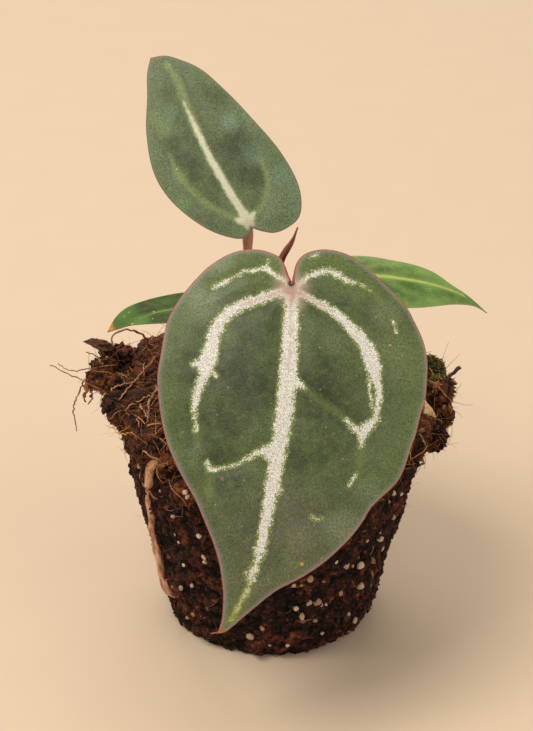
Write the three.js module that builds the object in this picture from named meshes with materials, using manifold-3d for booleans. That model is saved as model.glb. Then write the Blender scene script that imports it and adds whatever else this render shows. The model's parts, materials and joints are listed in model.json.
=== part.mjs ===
// A young crystal anthurium, lifted out of its pot with its root ball.
//
// Millimetres, +Z up. The origin is the centre of the root ball's flat bottom, and the plant is
// seen from -Y. The root ball keeps the taper of the pot that it grew in, with a rough collar of
// coir and bark round its top. A short stem stands in a hole in the soil and carries four
// leaves and the rolled tip of the next one.

import * as THREE from 'three';
import { LoftGeometry } from 'three/addons/geometries/LoftGeometry.js';
import { ImprovedNoise } from 'three/addons/math/ImprovedNoise.js';
import { mergeVertices } from 'three/addons/utils/BufferGeometryUtils.js';
import Module from 'manifold-3d';

// Driving dimensions

const POT_TOP_RADIUS = 30;
const POT_BOTTOM_RADIUS = 20;
const SOIL_HEIGHT = 46.5;
const COLLAR_START = 39;
const COLLAR_REACH = 2.2;
const SOIL_ROUGHNESS = 0.9;
const TOP_ROUGHNESS = 1.5;
const SOIL_SIDES = 60;
const FLANK_ROWS = 12;
const TOP_RINGS = 5;

const STEM_RADIUS = 2.4;
const STEM_FOOT = 33;
const STEM_TOP = 54;
const STEM_PLACE = [-0.5, 1.5];

const CATAPHYLL_FOOT = 44;

const BLADE_THICKNESS = 0.7;
const KEEL_WIDTH = 1.1;
const RING_CROWDING = 0.85;
const PETIOLE_SIDES = 8;
const PETIOLE_STEPS = 16;
const SIDE_ROOT_STEPS = 18;
const CLEARANCE = 0.3;
const MERGE_DISTANCE = 1e-4;
const SOIL_TOLERANCE = 0.12;

const wasm = await Module();
wasm.setup();

const noise = new ImprovedNoise();

// Seeded random numbers, so that the same plant grows each time
function seeded(seed) {
  let state = seed;
  return () => {
    state = (state * 1664525 + 1013904223) % 4294967296;
    return state / 4294967296;
  };
}

function point(list) {
  return new THREE.Vector3(...list);
}

// Closed meshes in and out of the boolean library

function toSolid(geometry) {
  const bare = new THREE.BufferGeometry();
  bare.setAttribute('position', geometry.attributes.position);
  bare.setIndex(geometry.index);
  const merged = mergeVertices(bare, MERGE_DISTANCE);
  return new wasm.Manifold(new wasm.Mesh({
    numProp: 3,
    vertProperties: new Float32Array(merged.attributes.position.array),
    triVerts: new Uint32Array(merged.index.array),
  }));
}

function toGeometry(solid) {
  const mesh = solid.getMesh();
  const geometry = new THREE.BufferGeometry();
  geometry.setAttribute('position', new THREE.BufferAttribute(mesh.vertProperties, 3));
  geometry.setIndex(new THREE.BufferAttribute(mesh.triVerts, 1));
  geometry.computeVertexNormals();
  return geometry;
}

function indexed(positions, triangles) {
  const geometry = new THREE.BufferGeometry();
  geometry.setAttribute('position', new THREE.Float32BufferAttribute(positions, 3));
  geometry.setIndex(triangles);
  geometry.computeVertexNormals();
  return geometry;
}

// A round limb that follows a smooth curve: a petiole, a root, a fibre or a twig
function limb(route, radiusAt, sides, steps) {
  const curve = new THREE.CatmullRomCurve3(route.map(point));
  const frames = curve.computeFrenetFrames(steps);
  const sections = [];
  for (let i = 0; i <= steps; i++) {
    const t = i / steps;
    const centre = curve.getPointAt(t);
    const radius = radiusAt(t);
    const ring = [];
    for (let j = 0; j < sides; j++) {
      const angle = j / sides * Math.PI * 2;
      ring.push(centre.clone()
        .addScaledVector(frames.normals[i], radius * Math.cos(angle))
        .addScaledVector(frames.binormals[i], radius * Math.sin(angle)));
    }
    sections.push(ring);
  }
  return new LoftGeometry(sections, { closed: true, capStart: true, capEnd: true });
}

// Leaf blades
//
// An outline is given flat, relative to the midrib: [across, along], from the notch at the stalk
// round one side to the tip, and the same for the other side. The surface function then bends
// the flat leaf: the midrib bows sideways, the blade arches along its length, its sides droop
// or rise, and its margin waves.

function flatPoint([across, along]) {
  return new THREE.Vector3(across, along, 0);
}

function smoothOutline(leaf) {
  const side = (middle) => {
    const route = [[0, -leaf.notchDepth], ...middle, [0, leaf.length]].map(flatPoint);
    return new THREE.CatmullRomCurve3(route, false, 'centripetal').getSpacedPoints(leaf.samples);
  };
  return [...side(leaf.right).slice(0, -1), ...side(leaf.left).reverse().slice(0, -1)];
}

function bowOf(leaf) {
  const track = new THREE.CatmullRomCurve3(leaf.bow.map(flatPoint)).getPoints(60);
  return (along) => {
    if (along <= 0) return 0;
    const before = track.findLastIndex((spot, i) => i < track.length - 1 && spot.y <= along);
    const [from, to] = [track[before], track[before + 1]];
    return THREE.MathUtils.mapLinear(along, from.y, to.y, from.x, to.x);
  };
}

function leafSurface(leaf) {
  const arch = THREE.MathUtils.degToRad(leaf.arch);
  const bend = arch / leaf.length;
  const bow = bowOf(leaf);
  return (across, along, height) => {
    const side = across / leaf.halfWidth;
    const slope = arch / 2 - bend * along;
    const wave = leaf.wave * side * side * Math.sin(along * leaf.waveRate + (across > 0 ? 0 : 2));
    const lift = height + wave - leaf.droop * side * side;
    return new THREE.Vector3(
      across + bow(along),
      (Math.sin(slope) - Math.sin(arch / 2)) / bend + lift * Math.sin(slope),
      (Math.cos(slope) - Math.cos(arch / 2)) / bend + lift * Math.cos(slope),
    );
  };
}

// Both faces are split into triangles alike, as a fan of rays from the stalk to the margin. The
// midrib stands out below as a keel that thins towards the tip.
function bladeGeometry(leaf, margin = 0) {
  const outline = smoothOutline(leaf);
  const surface = leafSurface(leaf);
  const positions = [];
  const triangles = [];
  const rays = outline.length;
  const facePoints = 1 + rays * leaf.rings;
  for (const face of [1, -1]) {
    for (let ring = 0; ring <= leaf.rings; ring++) {
      const share = (ring / leaf.rings) ** RING_CROWDING;
      for (const spot of ring === 0 ? [outline[0]] : outline) {
        const across = spot.x * share;
        const along = spot.y * share;
        const taper = THREE.MathUtils.clamp(1 - along / leaf.length, 0, 1);
        const keel = face < 0 ? leaf.keel * taper * Math.exp(-((across / KEEL_WIDTH) ** 2)) : 0;
        const height = face * (BLADE_THICKNESS / 2 + margin) - keel;
        positions.push(...surface(across, along, height).toArray());
      }
    }
  }
  const spot = (face, ring, ray) => face * facePoints + (ring === 0 ? 0 : 1 + (ring - 1) * rays + ray % rays);
  const add = (face, a, b, c) => triangles.push(...(face === 0 ? [a, c, b] : [a, b, c]));
  for (const face of [0, 1]) {
    for (let ray = 0; ray < rays; ray++) {
      add(face, spot(face, 0, 0), spot(face, 1, ray), spot(face, 1, ray + 1));
      for (let ring = 1; ring < leaf.rings; ring++) {
        add(face, spot(face, ring, ray), spot(face, ring + 1, ray), spot(face, ring + 1, ray + 1));
        add(face, spot(face, ring, ray), spot(face, ring + 1, ray + 1), spot(face, ring, ray + 1));
      }
    }
  }
  for (let ray = 0; ray < rays; ray++) {
    const topHere = spot(0, leaf.rings, ray);
    const topNext = spot(0, leaf.rings, ray + 1);
    const lowHere = spot(1, leaf.rings, ray);
    const lowNext = spot(1, leaf.rings, ray + 1);
    triangles.push(topHere, lowNext, lowHere, topHere, topNext, lowNext);
  }
  return indexed(positions, triangles);
}

// The blade's own axes, as it hangs: x to the right, y from the tip up to the stalk, and z out of
// the upper face
function leafPlacement(leaf) {
  const upwards = point(leaf.stalk).sub(point(leaf.tip)).normalize();
  const face = point(leaf.facing).normalize();
  face.addScaledVector(upwards, -face.dot(upwards)).normalize();
  const across = new THREE.Vector3().crossVectors(upwards, face);
  return new THREE.Matrix4().makeBasis(across, upwards, face).setPosition(point(leaf.stalk));
}

const leaves = {
  front: {
    stalk: [2.0, -19, 76.1],
    tip: [-9.0, -47, 24.8],
    facing: [0, -0.88, 0.48],
    length: 60.3,
    halfWidth: 22,
    notchDepth: 0.6,
    right: [
      [-0.2, -3.0], [0.7, -6.0], [4.1, -8.0], [9.0, -7.4], [15.1, -4.7], [20.7, -0.7], [23.5, 9.4],
      [22.6, 20.6], [19.7, 28.4], [16.4, 33.2], [9.5, 44.6], [4.3, 51.9], [1.4, 58.0],
    ],
    left: [
      [-1.3, -2.8], [-3.8, -5.1], [-8.2, -4.9], [-14.7, 0.9], [-20.0, 8.4], [-21.5, 18.2],
      [-18.7, 28.5], [-11.4, 38.8], [-6.2, 46.5], [-1.9, 53.8], [-0.7, 58.0],
    ],
    bow: [[0, 0], [2.4, 14], [3.7, 30], [3.9, 47], [0.1, 60.3]],
    arch: 32,
    droop: 3.0,
    wave: 0.35,
    waveRate: 0.32,
    keel: 0.7,
    samples: 34,
    rings: 7,
  },
  back: {
    stalk: [-5.7, 5.0, 76.4],
    tip: [-24.2, 24.0, 99.7],
    facing: [0, -0.88, 0.48],
    length: 35.5,
    halfWidth: 10.5,
    notchDepth: 0.8,
    right: [
      [0.8, -1.6], [2.4, -1.6], [5.2, 0.8], [7.5, 4.3], [9.7, 10.6], [10.1, 17.0], [8.2, 24.2],
      [5.8, 28.9], [3.2, 32.6],
    ],
    left: [
      [-1.5, -2.4], [-3.1, -3.6], [-5.6, -4.0], [-8.4, -3.3], [-10.8, 0.6], [-11.4, 8.4],
      [-9.4, 17.7], [-6.2, 26.7], [-3.6, 32.0], [-2.2, 34.4],
    ],
    bow: [[0, 0], [0, 14], [-0.8, 23], [-1.3, 30], [0.1, 35.5]],
    arch: 16,
    droop: 1.0,
    wave: 0.25,
    waveRate: 0.4,
    keel: 0.6,
    samples: 26,
    rings: 5,
  },
  right: {
    stalk: [8.9, 2.0, 68.2],
    tip: [37.5, 4.0, 60.8],
    facing: [0, -0.5, 0.87],
    length: 30.1,
    halfWidth: 5.4,
    notchDepth: 0.4,
    right: [
      [1.0, -1.8], [2.8, -2.0], [4.1, 1.5], [4.4, 6.5], [3.9, 11.2], [2.9, 18.5], [1.2, 22.5],
      [0.35, 27.0],
    ],
    left: [
      [-1.0, -1.8], [-3.6, -2.2], [-6.0, 1.6], [-6.6, 7.5], [-5.7, 14.0], [-4.4, 18.6], [-2.0, 24.4],
      [-0.35, 28.0],
    ],
    bow: [[0, 0], [0.9, 8], [1.6, 17], [1.5, 25], [0, 30.1]],
    arch: 36,
    droop: 0.5,
    wave: 0.15,
    waveRate: 0.5,
    keel: 0.5,
    samples: 20,
    rings: 4,
  },
  left: {
    stalk: [-7.5, -2.0, 63.6],
    tip: [-29.2, -9.0, 61.4],
    facing: [0, -0.25, 0.97],
    length: 24.0,
    halfWidth: 4.8,
    notchDepth: 0.4,
    right: [[1.0, -1.6], [2.6, -1.8], [3.6, 1.6], [3.6, 6.5], [2.8, 12.0], [1.7, 17.0], [0.7, 21.2]],
    left: [[-1.0, -1.6], [-2.6, -1.8], [-3.2, 1.6], [-3.5, 6.5], [-3.7, 12.0], [-3.4, 17.0], [-2.2, 21.2]],
    bow: [[0, 0], [-0.4, 8], [-0.6, 16], [0, 24.0]],
    arch: 46,
    droop: -0.4,
    wave: 0.15,
    waveRate: 0.5,
    keel: 0.5,
    samples: 20,
    rings: 4,
  },
};

// Soil
//
// Positions on the root ball are given as [degrees round, height, how far proud of the flank].

function flankRadius(height) {
  const share = THREE.MathUtils.clamp(height / SOIL_HEIGHT, 0, 1);
  return THREE.MathUtils.lerp(POT_BOTTOM_RADIUS, POT_TOP_RADIUS, share) - 0.8;
}

function onFlank([degrees, height, proud]) {
  const angle = THREE.MathUtils.degToRad(degrees);
  const radius = flankRadius(height) + proud;
  return [radius * Math.cos(angle), radius * Math.sin(angle), height];
}

function roughness(x, y, z) {
  return noise.noise(x / 9, y / 9, z / 9) + 0.6 * noise.noise(x / 4 + 7, y / 4, z / 4);
}

// The flank runs up to a rough collar, and the top dips a little inside its rim
function soilBody() {
  const positions = [];
  const triangles = [];
  const rows = [];
  const addRow = (spots) => {
    rows.push(positions.length / 3);
    spots.forEach((spot) => positions.push(...spot));
  };
  const round = (make) => {
    return Array.from({ length: SOIL_SIDES }, (_, i) => make(i / SOIL_SIDES * Math.PI * 2));
  };
  const collar = (height) => THREE.MathUtils.smoothstep(height, COLLAR_START, COLLAR_START + 5);
  const sideSpot = (angle, height, inset) => {
    const plain = flankRadius(height) - inset;
    const x = plain * Math.cos(angle);
    const y = plain * Math.sin(angle);
    const rough = roughness(x, y, height);
    const swell = SOIL_ROUGHNESS * rough + COLLAR_REACH * collar(height) * (0.5 + rough);
    const radius = plain + (height > 0 ? swell : 0);
    return [radius * Math.cos(angle), radius * Math.sin(angle), height];
  };
  addRow(round((angle) => sideSpot(angle, 0, 0.8)));
  for (let row = 1; row <= FLANK_ROWS; row++) {
    addRow(round((angle) => sideSpot(angle, row / FLANK_ROWS * SOIL_HEIGHT, 0)));
  }
  for (let ring = 1; ring <= TOP_RINGS; ring++) {
    const share = 1 - ring / (TOP_RINGS + 1);
    addRow(round((angle) => {
      const [rimX, rimY] = sideSpot(angle, SOIL_HEIGHT, 0);
      const x = rimX * share;
      const y = rimY * share;
      const lift = TOP_ROUGHNESS * roughness(x, y, 90) + 1.5 * THREE.MathUtils.smoothstep(ring, 0, 1);
      return [x, y, SOIL_HEIGHT + lift];
    }));
  }
  const bottom = positions.length / 3;
  positions.push(0, 0, 0);
  const top = positions.length / 3;
  positions.push(0, 0, SOIL_HEIGHT + 1.5);
  for (let i = 0; i < SOIL_SIDES; i++) {
    const next = (i + 1) % SOIL_SIDES;
    triangles.push(bottom, rows[0] + next, rows[0] + i);
    for (let row = 0; row + 1 < rows.length; row++) {
      const [low, high] = [rows[row], rows[row + 1]];
      triangles.push(low + i, low + next, high + next, low + i, high + next, high + i);
    }
    const last = rows[rows.length - 1];
    triangles.push(last + i, last + next, top);
  }
  return toSolid(indexed(positions, triangles));
}

// A broken lump of bark or soil: a rough icosahedron, squashed and turned at random
function crumb(place, size, random) {
  const lump = new THREE.IcosahedronGeometry(size, 0);
  lump.scale(0.7 + 0.6 * random(), 0.7 + 0.6 * random(), 0.6 + 0.4 * random());
  lump.rotateX(random() * Math.PI);
  lump.rotateY(random() * Math.PI);
  lump.rotateZ(random() * Math.PI);
  lump.translate(...place);
  return toSolid(lump);
}

function collarCrumbs() {
  const random = seeded(11);
  const crumbs = [];
  for (let i = 0; i < 34; i++) {
    const place = onFlank([random() * 360, 40.5 + 6.5 * random(), 0.4 + 1.2 * random()]);
    crumbs.push(crumb(place, 1.8 + 1.8 * random(), random));
  }
  for (let i = 0; i < 16; i++) {
    const angle = random() * Math.PI * 2;
    const radius = 6 + 20 * Math.sqrt(random());
    const place = [radius * Math.cos(angle), radius * Math.sin(angle), SOIL_HEIGHT + 0.5 + random()];
    crumbs.push(crumb(place, 1.6 + 1.4 * random(), random));
  }
  return crumbs;
}

// Perlite grains and small lumps that stand out of the flank
function flankGrains() {
  const random = seeded(23);
  return Array.from({ length: 28 }, () => {
    const place = onFlank([random() * 360, 3 + 31 * random(), 0.1]);
    return crumb(place, 0.9 + 0.5 * random(), random);
  });
}

// The two overhanging clods at the collar, left and right
const overhangs = [
  { at: [184, 47.5, 2.6], size: 3.4 },
  { at: [176, 48.5, 2.4], size: 3.2 },
  { at: [168, 48.5, 0.8], size: 3.4 },
  { at: [187, 45, 4.2], size: 2.2 },
  { at: [-5, 48, 0.8], size: 3.4 },
  { at: [-9, 44.5, 1.8], size: 3.0 },
  { at: [-14, 41, 1.4], size: 2.4 },
  { at: [8, 49, -0.8], size: 3.2 },
];

function overhangCrumbs() {
  const random = seeded(5);
  return overhangs.map(({ at, size }) => crumb(onFlank(at), size, random));
}

// Coir fibres and fine roots, with both ends or one end sunk into the soil
const fibres = [
  { route: [[-140, 46, -2], [-148, 48.6, -3], [-163, 49, -7], [-172, 46, -9]], radius: 0.35 },
  { route: [[-146, 44, -1], [-138, 45, 1.8], [-128, 44, 1.8], [-122, 41, -1]], radius: 0.35 },
  { route: [[-152, 39, -1], [-148, 35, 0.8], [-139, 33, 0.8], [-134, 35, -1]], radius: 0.35 },
  { route: [[-174, 46, 1], [-174, 47, 4.4], [-174, 43.5, 6.6], [-172, 38, 8.6]], radius: 0.35 },
  { route: [[-170, 46, 0], [-174, 48.5, 5.6], [-176, 51, 11.5]], radius: 0.35 },
  { route: [[150, 46, -3], [160, 52, -1.5], [166, 52.5, 1.5], [170, 47, 1]], radius: 0.35 },
  { route: [[-34, 45, -1], [-30, 41, 2.4], [-27, 37, -1]], radius: 0.4 },
  { route: [[-4, 47, 0], [-5, 50, 2.2], [-5, 52, 3.8]], radius: 0.6 },
  { route: [[60, 45, -1], [66, 42, 2.6], [74, 36, -1]], radius: 0.35 },
  { route: [[118, 45, -1], [110, 41, 2.6], [104, 35, -1]], radius: 0.35 },
  { route: [[30, 26, -1], [36, 22, 0.6], [40, 15, 0.6], [38, 9, -1]], radius: 0.5 },
  { route: [[84, 30, -1], [80, 24, 0.6], [84, 16, 0.6], [90, 11, -1]], radius: 0.5 },
  { route: [[128, 22, -1], [124, 15, 0.6], [130, 8, -1]], radius: 0.5 },
  { route: [[-80, 12, -1], [-72, 10, 0.6], [-64, 12, -1]], radius: 0.4 },
];

function fibreSolids() {
  return fibres.map(({ route, radius }) => {
    return toSolid(limb(route.map(onFlank), () => radius, 4, 2 * route.length));
  });
}

// Stem, petioles and the new leaf

function stemGeometry() {
  const [x, y] = STEM_PLACE;
  const route = [[x, y, STEM_FOOT], [x + 0.3, y - 0.3, 43], [x, y, STEM_TOP]];
  const rings = (t) => 0.25 * Math.max(0, Math.cos(t * Math.PI * 2 * 5));
  return limb(route, (t) => STEM_RADIUS * (1 - 0.12 * t) + rings(t), 10, 15);
}

// A petiole is widest at its foot, and swells again into the joint just under the blade
function petioleRadius(radius) {
  const swelling = (t, centre, width) => Math.exp(-(((t - centre) / width) ** 2));
  return (t) => radius * (1 + 0.45 * swelling(t, 0, 0.12) + 0.25 * swelling(t, 0.93, 0.08));
}

const petioles = {
  front: {
    route: [[-0.3, -0.2, 51], [0.4, -4.5, 58], [1.4, -12, 68.5], [1.9, -17, 73.6], [2, -18.6, 75.1]],
    radius: 1.0,
  },
  back: {
    route: [[-1.2, 3.2, 51], [-3.6, 5.0, 59], [-5.6, 5.6, 69], [-6.0, 5.9, 75.2]],
    radius: 0.8,
  },
  right: {
    route: [[1.2, 2.2, 51], [4.2, 2.6, 58], [7.2, 2.4, 64.5], [8.8, 2.2, 67.3]],
    radius: 0.75,
  },
  left: {
    route: [[-2.2, 1.2, 51], [-4.6, 0.2, 56], [-6.6, -1.2, 60.6], [-7.4, -1.9, 62.7]],
    radius: 0.75,
  },
};

// The next leaf, still rolled, with a fine bent point
const newLeaf = {
  route: [
    [0.4, 1.6, 55.2], [-1.2, -1.0, 61], [-1.0, -6.0, 70], [0.3, -9.6, 77], [1.9, -10.4, 80.6],
    [2.7, -10.6, 83.2],
  ],
  radius: 0.85,
};

function newLeafRadius(t) {
  const point = 1 - 0.75 * THREE.MathUtils.smoothstep(t, 0.72, 1);
  return newLeaf.radius * point * (0.75 + 0.25 * Math.sin(Math.PI * t));
}

// A papery bract that hugs the stem between two petioles and narrows to a point
function cataphyllGeometry({ degrees, height }, margin = 0) {
  const sections = [];
  const steps = 6;
  const arcPoints = 5;
  const inner = 4.3 - margin;
  const outer = 4.9 + margin;
  for (let i = 0; i <= steps; i++) {
    const t = i / steps;
    const spread = THREE.MathUtils.degToRad(21 * Math.sqrt(1.02 - t * t)) + margin / inner;
    const lean = 1.6 * t * t;
    const ring = [];
    for (const [radius, sense] of [[outer, 1], [inner, -1]]) {
      for (let j = 0; j < arcPoints; j++) {
        const angle = THREE.MathUtils.degToRad(degrees) + sense * spread * (2 * j / (arcPoints - 1) - 1);
        ring.push(new THREE.Vector3(
          STEM_PLACE[0] + (radius + lean) * Math.cos(angle),
          STEM_PLACE[1] + (radius + lean) * Math.sin(angle),
          CATAPHYLL_FOOT - margin + t * height,
        ));
      }
    }
    sections.push(ring);
  }
  return new LoftGeometry(sections, { closed: true, capStart: true, capEnd: true });
}

// The thick root that shows down the flank, and two chips of bark

const sideRoot = {
  route: [
    [-126, 42, -2.6], [-133, 38.5, -0.2], [-140, 35, 0.5], [-143.5, 29, 0.4], [-145, 23, 0.4],
    [-146, 16, 0.4], [-147, 9, 0.3], [-148, 4.5, -1.6],
  ],
  radius: 0.8,
};

function sideRootRadius(t) {
  return sideRoot.radius * (1.1 - 0.3 * t + 0.1 * Math.sin(9 * t));
}

const barkChips = {
  left: { at: [172, 51, 2.2], size: [4.4, 2.4, 1.1], turn: [0.3, 0.1, 0.4] },
  right: { at: [-14, 46.4, -0.2], size: [1.3, 2.2, 2.9], turn: [0.5, 0.2, -0.3] },
};

function barkChipGeometry({ at, size, turn }, margin) {
  const chip = new THREE.IcosahedronGeometry(1, 0);
  chip.scale(size[0] + margin, size[1] + margin, size[2] + margin);
  chip.applyMatrix4(new THREE.Matrix4().makeRotationFromEuler(new THREE.Euler(...turn)));
  chip.translate(...onFlank(at));
  return chip;
}

// Assembly

function material(color, roughness) {
  return new THREE.MeshStandardMaterial({ color, roughness, metalness: 0 });
}

const finishes = {
  soil: material(0x3b2117, 0.95),
  bark: material(0xb98a5c, 0.85),
  root: material(0xb07a5c, 0.7),
  stem: material(0x7a6a45, 0.7),
  petiole: material(0xac745b, 0.55),
  paper: material(0x9a7248, 0.8),
  velvet: material(0x4b5f3a, 0.6),
  youngLeaf: material(0x6c8a4a, 0.5),
  newLeaf: material(0x6a3328, 0.5),
};

const plant = new THREE.Group();
plant.name = 'crystal_anthurium';

function add(name, geometry, finish, placement) {
  const mesh = new THREE.Mesh(geometry, finish);
  mesh.name = name;
  if (placement) mesh.applyMatrix4(placement);
  plant.add(mesh);
}

// A limb fattened by the clearance, for the hole or cut that it leaves in its neighbour
function socket(route, radiusAt, sides, steps) {
  return toSolid(limb(route, (t) => radiusAt(t) + CLEARANCE, sides, steps));
}

const stem = toSolid(stemGeometry());
const stemSocket = toSolid(limb(
  [
    [...STEM_PLACE, STEM_FOOT - CLEARANCE],
    [STEM_PLACE[0] + 0.3, STEM_PLACE[1] - 0.3, 43],
    [...STEM_PLACE, STEM_TOP + CLEARANCE],
  ],
  () => STEM_RADIUS + 0.3 + CLEARANCE, 10, 8,
));

const rootRoute = sideRoot.route.map(onFlank);
const cataphylls = {
  left: { degrees: 225, height: 13 },
  right: { degrees: 45, height: 11 },
};

let soil = soilBody();
for (const piece of [...collarCrumbs(), ...flankGrains(), ...overhangCrumbs(), ...fibreSolids()]) {
  soil = soil.add(piece);
}
soil = soil.simplify(SOIL_TOLERANCE).subtract(stemSocket);
soil = soil.subtract(socket(rootRoute, sideRootRadius, 8, SIDE_ROOT_STEPS));
for (const chip of Object.values(barkChips)) {
  soil = soil.subtract(toSolid(barkChipGeometry(chip, CLEARANCE)));
}
for (const bract of Object.values(cataphylls)) {
  soil = soil.subtract(toSolid(cataphyllGeometry(bract, CLEARANCE)));
}

add('root_ball', toGeometry(soil), finishes.soil);
add('side_root', limb(rootRoute, sideRootRadius, 8, SIDE_ROOT_STEPS), finishes.root);
for (const [side, chip] of Object.entries(barkChips)) {
  add(`bark_chip_${side}`, barkChipGeometry(chip, 0), finishes.bark);
}
add('stem', toGeometry(stem), finishes.stem);
for (const [side, bract] of Object.entries(cataphylls)) {
  add(`cataphyll_${side}`, cataphyllGeometry(bract), finishes.paper);
}
for (const [side, { route, radius }] of Object.entries(petioles)) {
  const leaf = leaves[side];
  const bladeSocket = toSolid(bladeGeometry(leaf, CLEARANCE).applyMatrix4(leafPlacement(leaf)));
  const stalk = toSolid(limb(route, petioleRadius(radius), PETIOLE_SIDES, PETIOLE_STEPS));
  add(`petiole_${side}`, toGeometry(stalk.subtract(stemSocket).subtract(bladeSocket)), finishes.petiole);
}
for (const [side, leaf] of Object.entries(leaves)) {
  const finish = side === 'front' || side === 'back' ? finishes.velvet : finishes.youngLeaf;
  add(`blade_${side}`, bladeGeometry(leaf), finish, leafPlacement(leaf));
}
add('new_leaf', limb(newLeaf.route, newLeafRadius, 8, 16), finishes.newLeaf);

export default plant;
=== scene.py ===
# %% [markdown]
# # A young crystal anthurium on its root ball
#
# The plant was lifted out of its pot, and the soil keeps the pot's taper. The imported CAD model
# is the frame: it says where each piece is and how large. This script gives each piece its real
# surface: velvet leaves with silver veins, red-brown stalks, and a root ball of coir, bark and
# perlite. The frame is loaded first.

import json
import math
import random

import bpy
import numpy as np
from mathutils import Matrix, Vector, noise
from mathutils.bvhtree import BVHTree

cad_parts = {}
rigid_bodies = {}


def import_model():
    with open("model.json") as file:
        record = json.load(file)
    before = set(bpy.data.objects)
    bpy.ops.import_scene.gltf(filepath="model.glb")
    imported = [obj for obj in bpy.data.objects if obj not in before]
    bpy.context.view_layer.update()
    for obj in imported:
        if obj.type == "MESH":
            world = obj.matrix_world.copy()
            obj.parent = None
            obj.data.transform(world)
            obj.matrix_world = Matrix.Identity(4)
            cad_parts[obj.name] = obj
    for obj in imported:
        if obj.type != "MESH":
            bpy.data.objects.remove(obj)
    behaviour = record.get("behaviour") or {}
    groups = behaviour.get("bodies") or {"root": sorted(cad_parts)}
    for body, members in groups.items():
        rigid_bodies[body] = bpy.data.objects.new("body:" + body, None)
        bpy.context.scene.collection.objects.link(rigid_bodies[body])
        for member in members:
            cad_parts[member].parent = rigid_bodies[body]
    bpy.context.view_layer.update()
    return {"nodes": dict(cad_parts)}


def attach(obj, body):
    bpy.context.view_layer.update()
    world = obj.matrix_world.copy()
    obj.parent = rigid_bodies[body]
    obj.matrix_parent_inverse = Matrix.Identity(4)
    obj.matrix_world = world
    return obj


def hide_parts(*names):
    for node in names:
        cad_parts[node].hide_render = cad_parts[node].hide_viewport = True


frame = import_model()
print("CAD nodes:", len(frame["nodes"]))

# %% [markdown]
# ## Camera
#
# The photograph was taken with a long lens from a little above the plant, and its horizon leans
# by two degrees. The camera's three axes are worked out from those two angles. That is more
# exact than turning a camera by hand, and the same axes later find the spot on the soil that
# lies under a pixel.

# %% Camera
MM = 0.001
PHOTO = (533, 731)
LENS = 100
SENSOR = 36
ELEVATION = math.radians(28.44)
ROLL = math.radians(1.84)
CAMERA_PLACE = Vector((-1.8, -321.74, 225.11)) * MM

backwards = Vector((0, -math.cos(ELEVATION), math.sin(ELEVATION)))
level = Vector((1, 0, 0))
upright = backwards.cross(level)
rightwards = math.cos(ROLL) * level + math.sin(ROLL) * upright
upwards = math.cos(ROLL) * upright - math.sin(ROLL) * level

bpy.ops.object.select_all(action="DESELECT")
bpy.ops.object.camera_add()
camera = bpy.context.object
camera.name = "camera"
camera.data.lens = LENS
camera.data.sensor_width = SENSOR
camera.data.clip_start = 0.01
turned = Matrix((rightwards, upwards, backwards)).transposed().to_4x4()
camera.matrix_world = Matrix.Translation(CAMERA_PLACE) @ turned
bpy.context.scene.camera = camera
bpy.context.scene.view_settings.view_transform = "Standard"


def line_of_sight(pixel):
    """The direction in which the camera sees a pixel of the photograph."""
    pixels = LENS / SENSOR * max(PHOTO)
    right = (pixel[0] - PHOTO[0] / 2) / pixels
    up = (PHOTO[1] / 2 - pixel[1]) / pixels
    return (right * rightwards + up * upwards - backwards).normalized()


print("camera at", [round(v, 4) for v in camera.location])

# %% [markdown]
# ## Colours and nodes
#
# Colours are picked as hex values, which say how a screen shows them, but a shader works with
# linear light, so one function turns the one into the other. Another adds any node with its
# inputs. A material can be wired by hand in the node editor too, but a line of text for each
# node is easier to repeat and to change.

# %% Colour and nodes


def srgb(code):
    """A hex colour, as a screen shows it, in the linear values that a shader works with."""
    parts = [int(code[i:i + 2], 16) / 255 for i in (0, 2, 4)]
    return (*[c / 12.92 if c < 0.04045 else ((c + 0.055) / 1.055) ** 2.4 for c in parts], 1.0)


def plug(tree, node, inputs):
    """Sets a node's inputs. Each is a value, a hex colour, or an earlier output to be linked."""
    for place, value in inputs.items():
        if isinstance(value, bpy.types.NodeSocket):
            tree.links.new(value, node.inputs[place])
        else:
            node.inputs[place].default_value = srgb(value) if isinstance(value, str) else value


def add(tree, kind, inputs=None, out=0, stops=(), **settings):
    """Adds a node with its settings, inputs and colour stops, and gives one of its outputs."""
    fresh = tree.nodes.new("ShaderNode" + kind)
    for name, value in settings.items():
        setattr(fresh, name, value)
    plug(tree, fresh, inputs or {})
    if stops:
        ramp = fresh.color_ramp.elements
        for element, (position, tint) in zip(ramp, (stops[0], stops[-1])):
            element.position, element.color = position, srgb(tint)
        for position, tint in stops[1:-1]:
            ramp.new(position).color = srgb(tint)
    return fresh.outputs[out]


def new_material(name):
    """A material with its node tree and its shader, still plain."""
    material = bpy.data.materials.new(name)
    material.use_nodes = True
    tree = material.node_tree
    return material, tree, tree.nodes["Principled BSDF"]


def per_metre(size):
    """How many cells of a pattern fit in a metre, from the size of one in millimetres."""
    return 1 / (size * MM)


# %% [markdown]
# Many finishes on a plant are one pattern that is both seen and felt: cork, bark, roots, dried
# bracts. One recipe makes them all from a short line of sizes, tones and a bump. On a stalk or a
# root the pattern is stretched along the limb, which gives streaks. Each finish could have its
# own nodes, but then a change to the recipe would have to be made ten times.

# %% One recipe for uneven finishes


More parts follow.
